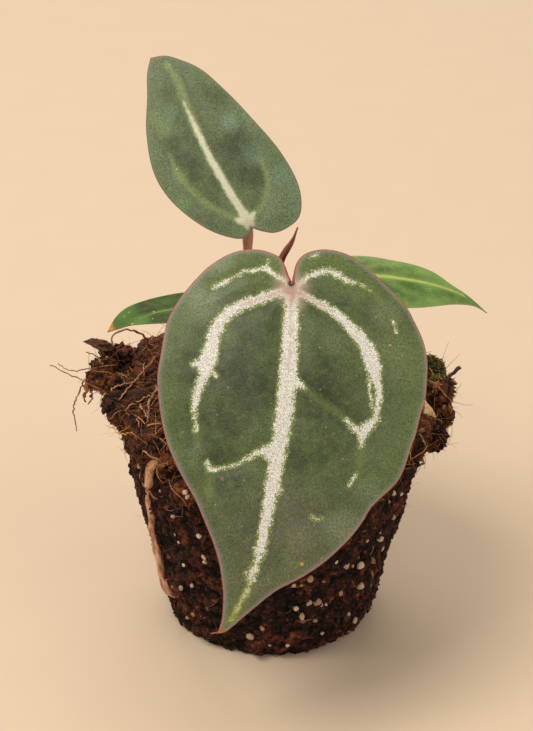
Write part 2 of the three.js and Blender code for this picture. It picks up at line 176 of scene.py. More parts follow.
def uneven_skin(name, size, detail, stops, sockets, stretch=None, limb=False, bump=None):
    """A finish in the tones of one noise, of a size in mm. On a limb it runs along the length.
    The same noise may be felt: bump is its strength, and its depth in mm."""
    material, tree, shader = new_material(name)
    if limb:
        place = add(tree, "Attribute", out="Vector", attribute_name="grain")
    else:
        place = add(tree, "TexCoord", out="Object")
    if stretch:
        place = add(tree, "Mapping", {"Vector": place, "Scale": stretch})
    scale = 1 / size if limb else per_metre(size)
    patch = add(tree, "TexNoise", {"Vector": place, "Scale": scale, "Detail": detail})
    tones = add(tree, "ValToRGB", {"Fac": patch}, stops=stops)
    plug(tree, shader, {"Base Color": tones, **sockets})
    if bump:
        felt = add(tree, "Bump", {"Height": patch, "Strength": bump[0], "Distance": bump[1] * MM})
        plug(tree, shader, {"Normal": felt})
    return material


# %% [markdown]
# ## Floor and light
#
# A studio has a pale sweep of paper and large soft lamps. A soft lamp is a wide area light,
# because the wider the light, the softer the shadow edge. The main one is up on the left, a
# weaker one fills in from the right, and one behind draws a pale line round the leaves.

# %% Floor and lamps
# Uncoated paper: matt, with a faint unevenness that keeps a large area alive
paper = uneven_skin(
    "matt_backdrop_paper", size=14, detail=4,
    stops=[(0, "d2c0aa"), (1, "d6c4ae")],
    sockets={"Roughness": 0.9, "Specular IOR Level": 0.2},
)

bpy.ops.object.select_all(action="DESELECT")
bpy.ops.mesh.primitive_plane_add(size=9)
floor = bpy.context.object
floor.name = "floor"
floor.data.materials.append(paper)

world = bpy.data.worlds.new("studio")
bpy.context.scene.world = world
world.use_nodes = True
plug(world.node_tree, world.node_tree.nodes["Background"], {"Color": "fff3e4", "Strength": 0.5})

LAMPS = {
    "main_lamp": {"place": (-0.4, -0.32, 0.85), "size": 0.45, "power": 6.5},
    "fill_lamp": {"place": (0.75, -0.5, 0.5), "size": 0.8, "power": 2.2},
    "back_lamp": {"place": (-0.1, 0.7, 0.75), "size": 0.8, "power": 4.2},
}
AIM = Vector((0, 0, 0.05))
for name, lamp in LAMPS.items():
    bpy.ops.object.light_add(type="AREA", location=lamp["place"])
    light = bpy.context.object
    light.name = name
    light.data.size = lamp["size"]
    light.data.energy = lamp["power"]
    light.data.color = srgb("fff4e6")[:3]
    light.rotation_euler = (Vector(lamp["place"]) - AIM).to_track_quat("Z", "Y").to_euler()
print("lamps:", ", ".join(LAMPS))

# %% [markdown]
# ## How the pieces are shaped
#
# A stalk is a sheet rolled into a tube, and a leaf is a sheet that was flat before it bent. So
# most pieces here start as Blender's grid primitive. Its points are moved to their places, and
# doubled points are then welded, which closes the seam. Points that are listed first as a flat
# drawing are easy to check, and each one can also keep a number, such as its distance from a
# vein, that the material reads later.

# %% Sheets and tubes


def select_only(piece):
    bpy.ops.object.select_all(action="DESELECT")
    piece.select_set(True)
    bpy.context.view_layer.objects.active = piece


def numbers_of(items, field, width=3):
    """What every point or face says of itself, such as its place, as an array."""
    values = np.empty(len(items) * width, np.float32)
    items.foreach_get(field, values)
    return values.reshape(-1, width) if width > 1 else values


def put_points(piece, places):
    """Moves a piece's points to places in mm."""
    piece.data.vertices.foreach_set("co", (places * MM).astype(np.float32).ravel())
    piece.data.update()


def linked(name, mesh):
    """A new piece in the scene that shows a mesh."""
    piece = bpy.data.objects.new(name, mesh)
    bpy.context.scene.collection.objects.link(piece)
    return piece


def laid_grid(name, places):
    """A grid primitive whose points are moved to places, an array [row, column, xyz] in mm."""
    rows, columns = places.shape[0] - 1, places.shape[1] - 1
    bpy.ops.object.select_all(action="DESELECT")
    bpy.ops.mesh.primitive_grid_add(x_subdivisions=columns, y_subdivisions=rows, size=1)
    piece = bpy.context.object
    piece.name = piece.data.name = name
    put_points(piece, places)
    return piece


def keep_values(piece, name, values):
    """Stores a number, or a vector, on each point for the material to read."""
    kind, field = ("FLOAT", "value") if values.ndim == 1 else ("FLOAT_VECTOR", "vector")
    layer = piece.data.attributes.new(name, kind, "POINT")
    layer.data.foreach_set(field, values.astype(np.float32).ravel())


def kept_values(piece, name):
    layer = piece.data.attributes[name]
    if layer.data_type == "FLOAT_VECTOR":
        return numbers_of(layer.data, "vector")
    return numbers_of(layer.data, "value", 1)


def weld(piece, cap=False, distance=2e-6):
    """Joins points that lie on each other, closes the ends if asked, and turns faces out."""
    select_only(piece)
    bpy.ops.object.mode_set(mode="EDIT")
    bpy.ops.mesh.select_all(action="SELECT")
    bpy.ops.mesh.remove_doubles(threshold=distance)
    if cap:
        bpy.ops.mesh.select_all(action="SELECT")
        bpy.ops.mesh.fill_holes(sides=0)
        bpy.ops.mesh.select_all(action="SELECT")
        bpy.ops.mesh.normals_make_consistent(inside=False)
    bpy.ops.object.mode_set(mode="OBJECT")


def apply(piece, kind, **settings):
    """Adds a modifier by its kind, sets it and applies it."""
    select_only(piece)
    bpy.ops.object.modifier_add(type=kind)
    modifier = piece.modifiers[-1]
    for name, value in settings.items():
        setattr(modifier, name, value)
    bpy.ops.object.modifier_apply(modifier=modifier.name)


def smooth_route(points, steps):
    """Evenly spaced points on the smooth curve through a few given ones."""
    knots = np.array(points, float)
    knots = np.vstack([2 * knots[0] - knots[1], knots, 2 * knots[-1] - knots[-2]])
    fine = []
    share = np.linspace(0, 1, 24, endpoint=False)[:, None]
    for before, start, end, after in zip(knots, knots[1:], knots[2:], knots[3:]):
        gaps = [np.linalg.norm(b - a) ** 0.5 for a, b in
                ((before, start), (start, end), (end, after))]
        leave = ((start - before) / gaps[0] - (end - before) / (gaps[0] + gaps[1])) * gaps[1]
        leave = leave + end - start
        reach = ((after - end) / gaps[2] - (after - start) / (gaps[1] + gaps[2])) * gaps[1]
        reach = reach + end - start
        fine.append(start + leave * share + (3 * (end - start) - 2 * leave - reach) * share**2
                    + (2 * (start - end) + leave + reach) * share**3)
    fine = np.vstack([*fine, knots[-2][None]])
    run = np.concatenate([[0], np.cumsum(np.linalg.norm(np.diff(fine, axis=0), axis=1))])
    wanted = np.linspace(0, run[-1], steps + 1)
    return np.stack([np.interp(wanted, run, fine[:, i]) for i in range(fine.shape[1])], axis=1)


def tube(name, route, radius_at, sides, steps):
    """A closed limb along a route in mm. radius_at(share, turn) may swell, ridge or fold it."""
    line = smooth_route(route, steps)
    ahead = np.gradient(line, axis=0)
    ahead /= np.linalg.norm(ahead, axis=1)[:, None]
    across = np.zeros_like(line)
    across[0] = np.cross(ahead[0], (0, 1, 0) if abs(ahead[0][1]) < 0.9 else (1, 0, 0))
    for i in range(1, len(line)):
        across[i] = across[i - 1] - ahead[i] * np.dot(across[i - 1], ahead[i])
    across /= np.linalg.norm(across, axis=1)[:, None]
    beside = np.cross(ahead, across)
    share = np.linspace(0, 1, steps + 1)[:, None]
    turn = np.linspace(0, 2 * math.pi, sides + 1)[None, :]
    radius = radius_at(share, turn) * np.ones_like(share * turn)
    radius[:, -1] = radius[:, 0]
    ring = (np.cos(turn)[..., None] * across[:, None] + np.sin(turn)[..., None] * beside[:, None])
    piece = laid_grid(name, line[:, None] + radius[..., None] * ring)
    length = np.linalg.norm(np.diff(line, axis=0), axis=1).sum()
    middle = radius.mean()
    grain = np.stack(np.broadcast_arrays(
        middle * np.cos(turn), middle * np.sin(turn), share * length), axis=-1)
    keep_values(piece, "grain", grain.reshape(-1, 3))
    weld(piece, cap=True)
    bpy.ops.object.shade_smooth()
    return piece


def settle(piece, material, slot, *replaced):
    """Gives a finished piece its material and its place on the plant."""
    if material:
        piece.data.materials.clear()
        piece.data.materials.append(material)
    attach(piece, "root")
    if replaced:
        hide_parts(*replaced)
    piece.data.calc_loop_triangles()
    print(f"{piece.name}: {len(piece.data.loop_triangles)} triangles")


# %% [markdown]
# ## Leaf skin
#
# The leaf of this plant is velvet to the touch. Its skin is made of tiny domed cells, so it
# scatters light softly and shows a pale bloom at a slant: in Blender that is sheen over a
# rather rough surface. The silver veins are air under clear skin, so they are a pale, grainy
# colour and not a metal. Their edges fray, with a yellow-green line beyond. The colour is
# worked out from the distances that each point of the leaf keeps: from a vein, from a faint
# vein and from the margin. Noise is added to a distance before it becomes a colour, and that
# frays the edge. A picture could do this too, but it would blur when seen from close by.

# %% Leaf skin
NOTCH = (-0.6, -2.2, 0)


def leaf_skin(name, look):
    """The upper skin of a leaf: lamina, veins, margin and the small marks that it carries."""
    material, tree, shader = new_material(name)
    place = add(tree, "TexCoord", out="Object")
    known = {}
    for kept in ("vein", "trace", "crease", "margin", "across", "along"):
        known[kept] = add(tree, "Attribute", out="Fac", attribute_name=kept)

    # Noise at the sizes that the real skin shows, in millimetres
    rough = {}
    for label, (size, detail) in look["patterns"].items():
        rough[label] = add(tree, "TexNoise", {
            "Vector": place, "Scale": per_metre(size), "Detail": detail, "Roughness": 0.6,
        })

    # Green lamina, in patches
    patch = add(tree, "MapRange", {
        "Value": rough["patch"], "From Min": 0.36, "From Max": 0.64,
    })
    colour = add(tree, "Mix", {
        0: patch, 6: look["dark"], 7: look["light"],
    }, out=2, data_type="RGBA")
    for tint, source, start, end, strength in look["washes"]:
        there = add(tree, "MapRange", {
            "Value": known[source], "From Min": start, "From Max": end, "To Max": strength,
        }, interpolation_type="SMOOTHSTEP")
        mottled = add(tree, "Math", {0: rough["patch"], 1: 1.6}, operation="MULTIPLY")
        there = add(tree, "Math", {0: there, 1: mottled}, operation="MULTIPLY")
        colour = add(tree, "Mix", {
            0: there, 6: colour, 7: tint,
        }, out=2, data_type="RGBA")

    # Soft clouds and small marks at their own places on the flat leaf, in millimetres. The clouds
    # are partly tints of the skin and partly painted sheen and painted shade
    flat = add(tree, "CombineXYZ", {0: known["across"], 1: known["along"]})
    blur = add(tree, "Math", {
        0: rough["patch"], 1: 5.0, 2: -2.5,
    }, operation="MULTIPLY_ADD")

    def with_spots(colour, spots, unevenness):
        for tint, across, along, start, end, strength in spots:
            away = add(tree, "VectorMath", {
                0: flat, 1: (across, along, 0),
            }, out="Value", operation="DISTANCE")
            away = add(tree, "Math", {0: away, 1: unevenness}, operation="ADD")
            there = add(tree, "MapRange", {
                "Value": away, "From Min": start, "From Max": end, "To Max": strength,
            }, interpolation_type="SMOOTHSTEP")
            colour = add(tree, "Mix", {
                0: there, 6: colour, 7: tint,
            }, out=2, data_type="RGBA")
        return colour

    colour = with_spots(colour, look["tints_and_painted_light"], blur)

    # Olive blotches of a millimetre or so, then the cells of the skin with painted light: lighter
    # on their domed tops, darker between them
    blotch = add(tree, "MapRange", {
        "Value": rough["fray"], "From Min": 0.45, "From Max": 0.7, "To Max": look["blotch"],
    })
    colour = add(tree, "Mix", {
        0: blotch, 6: colour, 7: look["olive"],
    }, out=2, data_type="RGBA")
    cells = add(tree, "MapRange", {
        "Value": rough["cells"], "From Min": 0.3, "From Max": 0.7,
        "To Min": 1 - look["painted_cell_light"], "To Max": 1 + look["painted_cell_light"],
    })
    colour = add(tree, "Mix", {
        0: 1.0, 6: colour, 7: cells,
    }, out=2, data_type="RGBA", blend_type="MULTIPLY")

    # Frayed distance from a vein's edge
    wander = add(tree, "Math", {
        0: rough["fray"], 1: 2 * look["fray"], 2: -look["fray"],
    }, operation="MULTIPLY_ADD")
    jitter = add(tree, "Math", {
        0: rough["spray"], 1: 2 * look["jitter"], 2: -look["jitter"],
    }, operation="MULTIPLY_ADD")
    soft_edge = add(tree, "Math", {0: known["vein"], 1: wander}, operation="ADD")
    edge = add(tree, "Math", {0: soft_edge, 1: jitter}, operation="ADD")
    faint = add(tree, "Math", {0: known["trace"], 1: wander}, operation="ADD")
    silver = add(tree, "MapRange", {
        "Value": edge, "From Min": look["edge"], "From Max": -look["edge"],
        "To Max": look["silver"],
    })
    for source, reach, strength, tint in (
        (faint, look["trace_reach"], look["trace"], look["trace_green"]),
        (soft_edge, look["halo_reach"], look["halo"], look["halo_green"]),
        (edge, 0.3, look["halo"], look["halo_green"]),
    ):
        glow = add(tree, "MapRange", {
            "Value": source, "From Min": reach, "From Max": -0.1, "To Max": strength,
        })
        glow = add(tree, "Math", {0: glow, 1: cells}, operation="MULTIPLY")
        colour = add(tree, "Mix", {
            0: glow, 6: colour, 7: tint,
        }, out=2, data_type="RGBA")

    # Silver, in grains, and pink near the stalk
    grains = add(tree, "MapRange", {
        "Value": rough["grains"], "From Min": 0.38, "From Max": 0.6,
    })
    metal = add(tree, "Mix", {
        0: grains, 6: look["silver_dark"], 7: look["silver_light"],
    }, out=2, data_type="RGBA")
    faded = add(tree, "MapRange", {
        "Value": known["along"], "From Min": look["silver_fades"][0],
        "From Max": look["silver_fades"][1], "To Max": 0.85,
    })
    metal = add(tree, "Mix", {0: faded, 6: metal, 7: "a6ab68"}, out=2, data_type="RGBA")
    colour = add(tree, "Mix", {0: silver, 6: colour, 7: metal}, out=2, data_type="RGBA")
    colour = with_spots(colour, look["blush"], wander)

    # The pink crease down the middle of the broad veins, from the stalk
    crease = add(tree, "Math", {0: known["crease"], 1: wander}, operation="ADD")
    crease = add(tree, "MapRange", {
        "Value": crease, "From Min": 0.35, "From Max": -0.1, "To Max": look["crease"],
    })
    fading = add(tree, "MapRange", {
        "Value": known["along"], "From Min": look["crease_end"], "From Max": 0.5,
    })
    crease = add(tree, "Math", {0: crease, 1: fading}, operation="MULTIPLY")
    colour = add(tree, "Mix", {
        0: crease, 6: colour, 7: look["crease_red"],
    }, out=2, data_type="RGBA")

    # Lines along the margin: grey-lilac inside, red at the very edge, dark red in the notch
    rim = add(tree, "Math", {0: jitter, 1: 0.25}, operation="MULTIPLY")
    rim = add(tree, "Math", {0: known["margin"], 1: rim}, operation="ADD")
    notch = add(tree, "VectorMath", {0: flat, 1: NOTCH}, out="Value", operation="DISTANCE")
    notch = add(tree, "MapRange", {"Value": notch, "From Min": 5.0, "From Max": 2.4})
    for tint, tint_in_notch, wide, strength in look["margin_lines"]:
        line = add(tree, "MapRange", {
            "Value": rim, "From Min": 1.4 * wide, "From Max": 0.6 * wide, "To Max": strength,
        })
        tint = add(tree, "Mix", {
            0: notch, 6: tint, 7: tint_in_notch,
        }, out=2, data_type="RGBA")
        colour = add(tree, "Mix", {0: line, 6: colour, 7: tint}, out=2, data_type="RGBA")

    # Tiny pale specks, in one cell of a few: painted glints on the skin, and partly dust
    speck = add(tree, "TexVoronoi", {"Vector": place, "Scale": per_metre(look["speck_gap"])})
    near = add(tree, "MapRange", {
        "Value": speck, "From Min": 0.07, "From Max": 0.04,
    })
    chosen = add(tree, "SeparateColor", {0: speck.node.outputs["Color"]})
    chosen = add(tree, "Math", {0: chosen, 1: 0.45}, operation="GREATER_THAN")
    near = add(tree, "Math", {0: near, 1: chosen}, operation="MULTIPLY")
    near = add(tree, "Math", {0: near, 1: 0.7}, operation="MULTIPLY")
    colour = add(tree, "Mix", {
        0: near, 6: colour, 7: "c9d0ae",
    }, out=2, data_type="RGBA")

    colour = with_spots(colour, look["marks"], 0.0)

    # Domed cells, coarser and rougher in the silver
    rise = add(tree, "Mix", {0: silver, 2: rough["cells"], 3: rough["grains"]})
    bump = add(tree, "Bump", {
        "Height": rise, "Strength": look["bump"], "Distance": 0.12 * MM,
    })
    gloss = add(tree, "MapRange", {
        "Value": rough["patch"], "From Min": 0.3, "From Max": 0.7,
        "To Min": look["roughness"] - 0.06, "To Max": look["roughness"] + 0.06,
    })
    plug(tree, shader, {
        "Base Color": colour, "Normal": bump, "Roughness": gloss,
        "Specular IOR Level": look["specular"], "Sheen Weight": look["sheen"],
        "Sheen Roughness": 0.35, "Sheen Tint": look["sheen_tint"],
    })
    return material


# %% [markdown]
# The front leaf is the grown form: dark, with broad silver veins. The back leaf is younger and
# greyer, with one pale midrib. The two small leaves are from the first months, bright green and
# a little glossy. One function makes all four skins from a table of looks, so a change to the
# way a vein frays reaches every leaf.

# %% Looks of the four leaves
# Each noise of the skin: its size in mm and its detail
PATTERNS = {
    "patch": (7.0, 3), "fray": (1.3, 3), "spray": (0.24, 2), "cells": (0.28, 2),
    "grains": (0.2, 1),
}

VELVET = {
    "patterns": PATTERNS,
    "dark": "344328",
    "light": "52623c",
    "washes": [
        ("566c36", "margin", 5.5, 0.5, 0.6),
        # The grey-lilac wash over the lower half is a painted sheen
        ("585c4e", "along", 26.0, 44.0, 0.6),
        ("566838", "along", 2.0, -6.0, 0.5),
        ("5d682c", "along", 53.5, 57.5, 0.8),
    ],
    # Each cloud or mark: colour, place (across, along), where it starts and is full, strength
    "tints_and_painted_light": [
        # The pale grey and grey-blue clouds on the lobes and over the lower half are painted
        # sheen; the dark clouds darken the lamina between the veins; the yellow-green ones by the
        # tip are the leaf's own colour
        ("7d8a6c", -14.7, 5.7, 5.5, 0.5, 0.6),
        ("64724f", -8.9, 2.3, 3.5, 0.5, 0.4),
        ("232f1c", -7.6, 18.0, 8.5, 1.0, 0.78),
        ("202b18", -7.8, 24.0, 4.8, 0.5, 0.6),
        ("2a3622", -8.0, 9.0, 4.0, 0.5, 0.5),
        ("2c3a22", -17.4, 17.0, 5.5, 0.5, 0.5),
        ("27331e", 7.4, 16.0, 8.0, 1.0, 0.85),
        ("2f3b24", -4.6, 4.6, 3.0, 0.5, 0.5),
        ("55574a", 3.6, 37.0, 9.0, 2.0, 0.6),
        ("77816a", 12.5, 37.5, 4.6, 0.5, 0.6),
        ("70745e", 5.6, 41.0, 4.6, 0.5, 0.5),
        ("66755a", 16.1, 30.4, 4.0, 0.5, 0.6),
        ("66744c", 18.6, 8.0, 7.0, 1.0, 0.5),
        ("7d8a6c", -12.9, -1.6, 4.0, 0.5, 0.55),
        ("74815e", 16.0, 0.8, 4.0, 0.5, 0.5),
        ("66724f", 7.0, 7.6, 3.2, 0.5, 0.5),
        ("5c6742", -11.6, 37.0, 4.0, 0.5, 0.5),
        ("98a256", 0.5, 51.2, 1.7, 0.4, 0.8),
        ("98a256", 0.8, 53.4, 1.4, 0.3, 0.8),
        ("949e52", 1.0, 55.4, 1.2, 0.3, 0.75),
    ],
    "olive": "5d6b33",
    "blotch": 0.4,
    "painted_cell_light": 0.46,
    "fray": 0.8,
    "jitter": 1.25,
    "silver": 1.0,
    "silver_fades": (47.0, 53.0),
    "edge": 0.07,
    "halo": 0.85,
    "halo_reach": 0.65,
    "halo_green": "7c8c3c",
    "trace": 0.4,
    "trace_reach": 0.9,
    "trace_green": "6f7f42",
    "silver_dark": "aaaaa2",
    "silver_light": "e4e7e5",
    "blush": [
        ("b9a596", 0, 0.4, 4.4, 0.6, 0.75),
        ("a07a78", -0.2, 0.5, 1.4, 0.3, 0.7),
    ],
    "crease": 0.7,
    "crease_end": 24.0,
    "crease_red": "b38a80",
    "margin_lines": [
        ("84858a", "8b8d7a", 0.7, 0.38), ("a88078", "9a726a", 0.28, 0.6),
        ("8c4639", "9c3a3c", 0.14, 0.95),
    ],
    "speck_gap": 1.5,
    "marks": [
        ("c08c58", 7.3, 44.7, 0.4, 0.2, 1.0), ("7a4a2c", 7.2, 44.6, 0.14, 0.06, 0.8),
        ("a5793f", 10.2, 43.1, 0.3, 0.1, 0.8),
        ("c09a76", 16.9, 5.8, 0.25, 0.1, 0.8), ("8a5a38", -8.2, 33.8, 0.35, 0.15, 0.8),
        ("262a1e", -17.5, 17.4, 0.4, 0.1, 0.6), ("97805a", -4.7, 33.2, 0.25, 0.1, 0.6),
        ("a55a34", -0.2, 59.4, 1.7, 0.5, 0.8), ("cf9676", 0.0, 60.5, 0.9, 0.4, 0.9),
        # At the notch: a maroon ring, a near-black spot in it that is painted shade where the
        # stalk joins, and a tiny pale dot in that spot that is a painted highlight
        ("6c2a2c", -0.25, -0.6, 0.8, 0.4, 0.9), ("160a08", -0.25, -0.5, 0.42, 0.3, 1.0),
        ("c0a08c", -0.2, -0.6, 0.16, 0.08, 0.9),
    ],
    "bump": 0.5,
    "roughness": 0.5,
    "specular": 0.4,
    "sheen": 0.25,
    "sheen_tint": "dfe6e0",
}
YOUNG_VELVET = VELVET | {
    "dark": "425234",
    "light": "5c6c4e",
    "washes": [
        ("687c5c", "margin", 4.5, 0.5, 0.6),
        ("687e62", "along", 6.0, -3.0, 0.6),
        ("8a6428", "along", 33.9, 34.9, 1.0),
        ("4e3418", "along", 34.9, 35.4, 1.0),
    ],
    "tints_and_painted_light": [
        # The dark clouds are painted shade of the quilted relief, the grey-blue ones are painted
        # sheen, and the light green ones are the leaf's own mottling
        ("33422a", -4.7, 13.5, 3.4, 0.5, 0.85), ("33442c", 3.9, 14.4, 3.2, 0.5, 0.8),
        ("36462c", -4.4, 7.0, 3.4, 0.5, 0.8), ("445236", -6.3, 22.7, 4.0, 0.5, 0.7),
        ("3c4c32", 1.9, 28.3, 3.0, 0.5, 0.7), ("36482e", 4.4, 19.0, 2.4, 0.4, 0.6),
        ("748f54", 4.9, 22.4, 2.4, 0.4, 0.45), ("748f54", 6.0, 25.4, 2.2, 0.4, 0.45),
        ("7f9c56", 6.6, 13.7, 2.6, 0.4, 0.55), ("738f5c", 8.4, 9.5, 2.6, 0.4, 0.5),
        ("6f8474", -5.8, 17.8, 2.6, 0.4, 0.7), ("68806e", -7.6, 10.0, 3.0, 0.5, 0.65),
        ("66806c", -9.4, 4.8, 3.4, 0.5, 0.6), ("667e66", 3.0, 24.6, 2.0, 0.4, 0.5),
    ],
    "olive": "5c703a",
    "blotch": 0.45,
    "fray": 0.4,
    "jitter": 0.3,
    "edge": 0.26,
    "halo": 0.4,
    "halo_reach": 0.8,
    "halo_green": "728a4c",
    "trace": 0.55,
    "trace_reach": 0.6,
    "trace_green": "7f955c",
    "silver_dark": "bcbfa6",
    "silver_light": "d0d2bd",
    "blush": [("b4a48c", 0, 0.0, 1.6, 0.3, 0.6)],
    "crease": 0.0,
    "margin_lines": [("6f7c62", "6f7c62", 0.45, 0.5), ("6a5446", "6a5446", 0.16, 0.7)],
    "marks": [],
    "speck_gap": 2.6,
    "roughness": 0.55,
}
FIRST_LEAF = VELVET | {
    "dark": "3e5f28",
    "light": "5c8440",
    "washes": [("7f9d50", "margin", 2.2, 0.3, 0.5)],
    "tints_and_painted_light": [],
    "olive": "7f9a44",
    "blotch": 0.4,
    "painted_cell_light": 0.2,
    "fray": 0.2,
    "jitter": 0.15,
    "halo": 0.45,
    "halo_reach": 0.8,
    "halo_green": "86a150",
    "trace": 0.3,
    "trace_green": "86a150",
    "edge": 0.16,
    "silver_dark": "9bb25a",
    "silver_light": "aec26e",
    "blush": [],
    "crease": 0.0,
    "margin_lines": [("9dae6e", "9dae6e", 0.12, 0.4)],
    "marks": [],
    "speck_gap": 3.4,
    "bump": 0.3,
    "roughness": 0.4,
    "specular": 0.5,
    "sheen": 0.05,
}
skins = {
    "front": leaf_skin("velvet_leaf_grown", VELVET),
    "back": leaf_skin("velvet_leaf_young", YOUNG_VELVET),
    "right": leaf_skin("first_leaf_right", FIRST_LEAF | {
        "washes": [("7f9d50", "margin", 2.2, 0.3, 0.5), ("8f8a6c", "along", 28.0, 29.6, 1.0)],
    }),
    "left": leaf_skin("first_leaf_left", FIRST_LEAF | {
        "dark": "1c3008",
        "light": "345210",
        "painted_cell_light": 0.2,
        "silver": 0.75,
        "silver_dark": "7c9650",
        "silver_light": "96aa68",
        "halo_green": "5c7c30",
        "trace_green": "5f8434",
        "olive": "5f6c24",
        "blotch": 0.45,
        "washes": [
            ("4f7c30", "along", 16.0, 20.5, 0.7),
            ("d88c34", "along", 22.2, 23.1, 1.0),
            ("b0442c", "along", 23.3, 23.8, 1.0),
        ],
        "tints_and_painted_light": [
            # The two darkest clouds are painted shadow, where the front leaf shades this one
            ("16280c", 2.2, 11.0, 4.6, 0.8, 0.9), ("1f3810", -0.6, 9.5, 3.4, 0.5, 0.8),
            ("3c5c1e", -2.6, 13.5, 2.4, 0.4, 0.5), ("588c36", 1.2, 18.0, 2.4, 0.4, 0.6),
        ],
        "margin_lines": [("6f8a48", "6f8a48", 0.12, 0.4)],
        "marks": [
            ("c08a5c", 1.0, 19.4, 0.34, 0.15, 0.9), ("b8925e", 1.9, 19.0, 0.25, 0.1, 0.8),
            ("c39c6e", 1.0, 15.8, 0.22, 0.1, 0.8), ("d8dab8", -0.7, 15.2, 0.2, 0.1, 0.7),
            ("a8ac74", -1.9, 19.2, 0.3, 0.1, 0.5), ("c39c6e", -1.4, 20.2, 0.2, 0.1, 0.6),
        ],
        "speck_gap": 6.0,
        "roughness": 0.5,
        "specular": 0.28,
    }),
}
print("skins:", ", ".join(skins))

# %% [markdown]
# The underside is paler and duller, and on young leaves of this kind it is flushed with red
# where the veins stand out. The edge of the grown blade is a fine red rim, and that of the
# younger ones is green. These are small plain materials with a little noise, since none of them
# is seen from close by.

# %% Underside and rim
under, tree, shader = new_material("leaf_underside")
place = add(tree, "TexCoord", out="Object")
vein = add(tree, "Attribute", out="Fac", attribute_name="vein")
cloud = add(tree, "TexNoise", {"Vector": place, "Scale": per_metre(4), "Detail": 3})
green = add(tree, "Mix", {0: cloud, 6: "75804f", 7: "8b8a5e"}, out=2, data_type="RGBA")
near = add(tree, "MapRange", {"Value": vein, "From Min": 0.9, "From Max": -0.2, "To Max": 0.85})
green = add(tree, "Mix", {0: near, 6: green, 7: "a9826a"}, out=2, data_type="RGBA")
net = add(tree, "TexVoronoi", {
    "Vector": place, "Scale": per_metre(0.9),
}, feature="DISTANCE_TO_EDGE")
relief = add(tree, "Bump", {"Height": net, "Strength": 0.4, "Distance": 0.1 * MM})
plug(tree, shader, {
    "Base Color": green, "Normal": relief, "Roughness": 0.6, "Specular IOR Level": 0.3,
})

RIM_TONES = {"red": ("6e3028", "a86658"), "green": ("40562a", "7f9458")}
rims = {}
for name, (dark_tone, light_tone) in RIM_TONES.items():
    rims[name] = uneven_skin(
        f"leaf_rim_{name}", size=1.6, detail=3,
        stops=[(0, dark_tone), (1, light_tone)],
        sockets={"Roughness": 0.5},
    )
print("underside and rim ready")

# %% [markdown]
# ## Leaf blades
#
# A leaf is drawn flat first, as if pressed in a book: an outline from the notch at the stalk
# round each side to the tip, and the veins as lines with a width. The grid's columns run out
# from the stalk to the margin, like spokes. Then the flat leaf is bent as the real one hangs:
# the midrib bows, the blade arches, the sides droop and the margin waves. The veins sink a
# little and the lamina swells between them, which gives the quilted light. Sculpting could
# give this too, but a drawing in millimetres matches the CAD blade exactly.

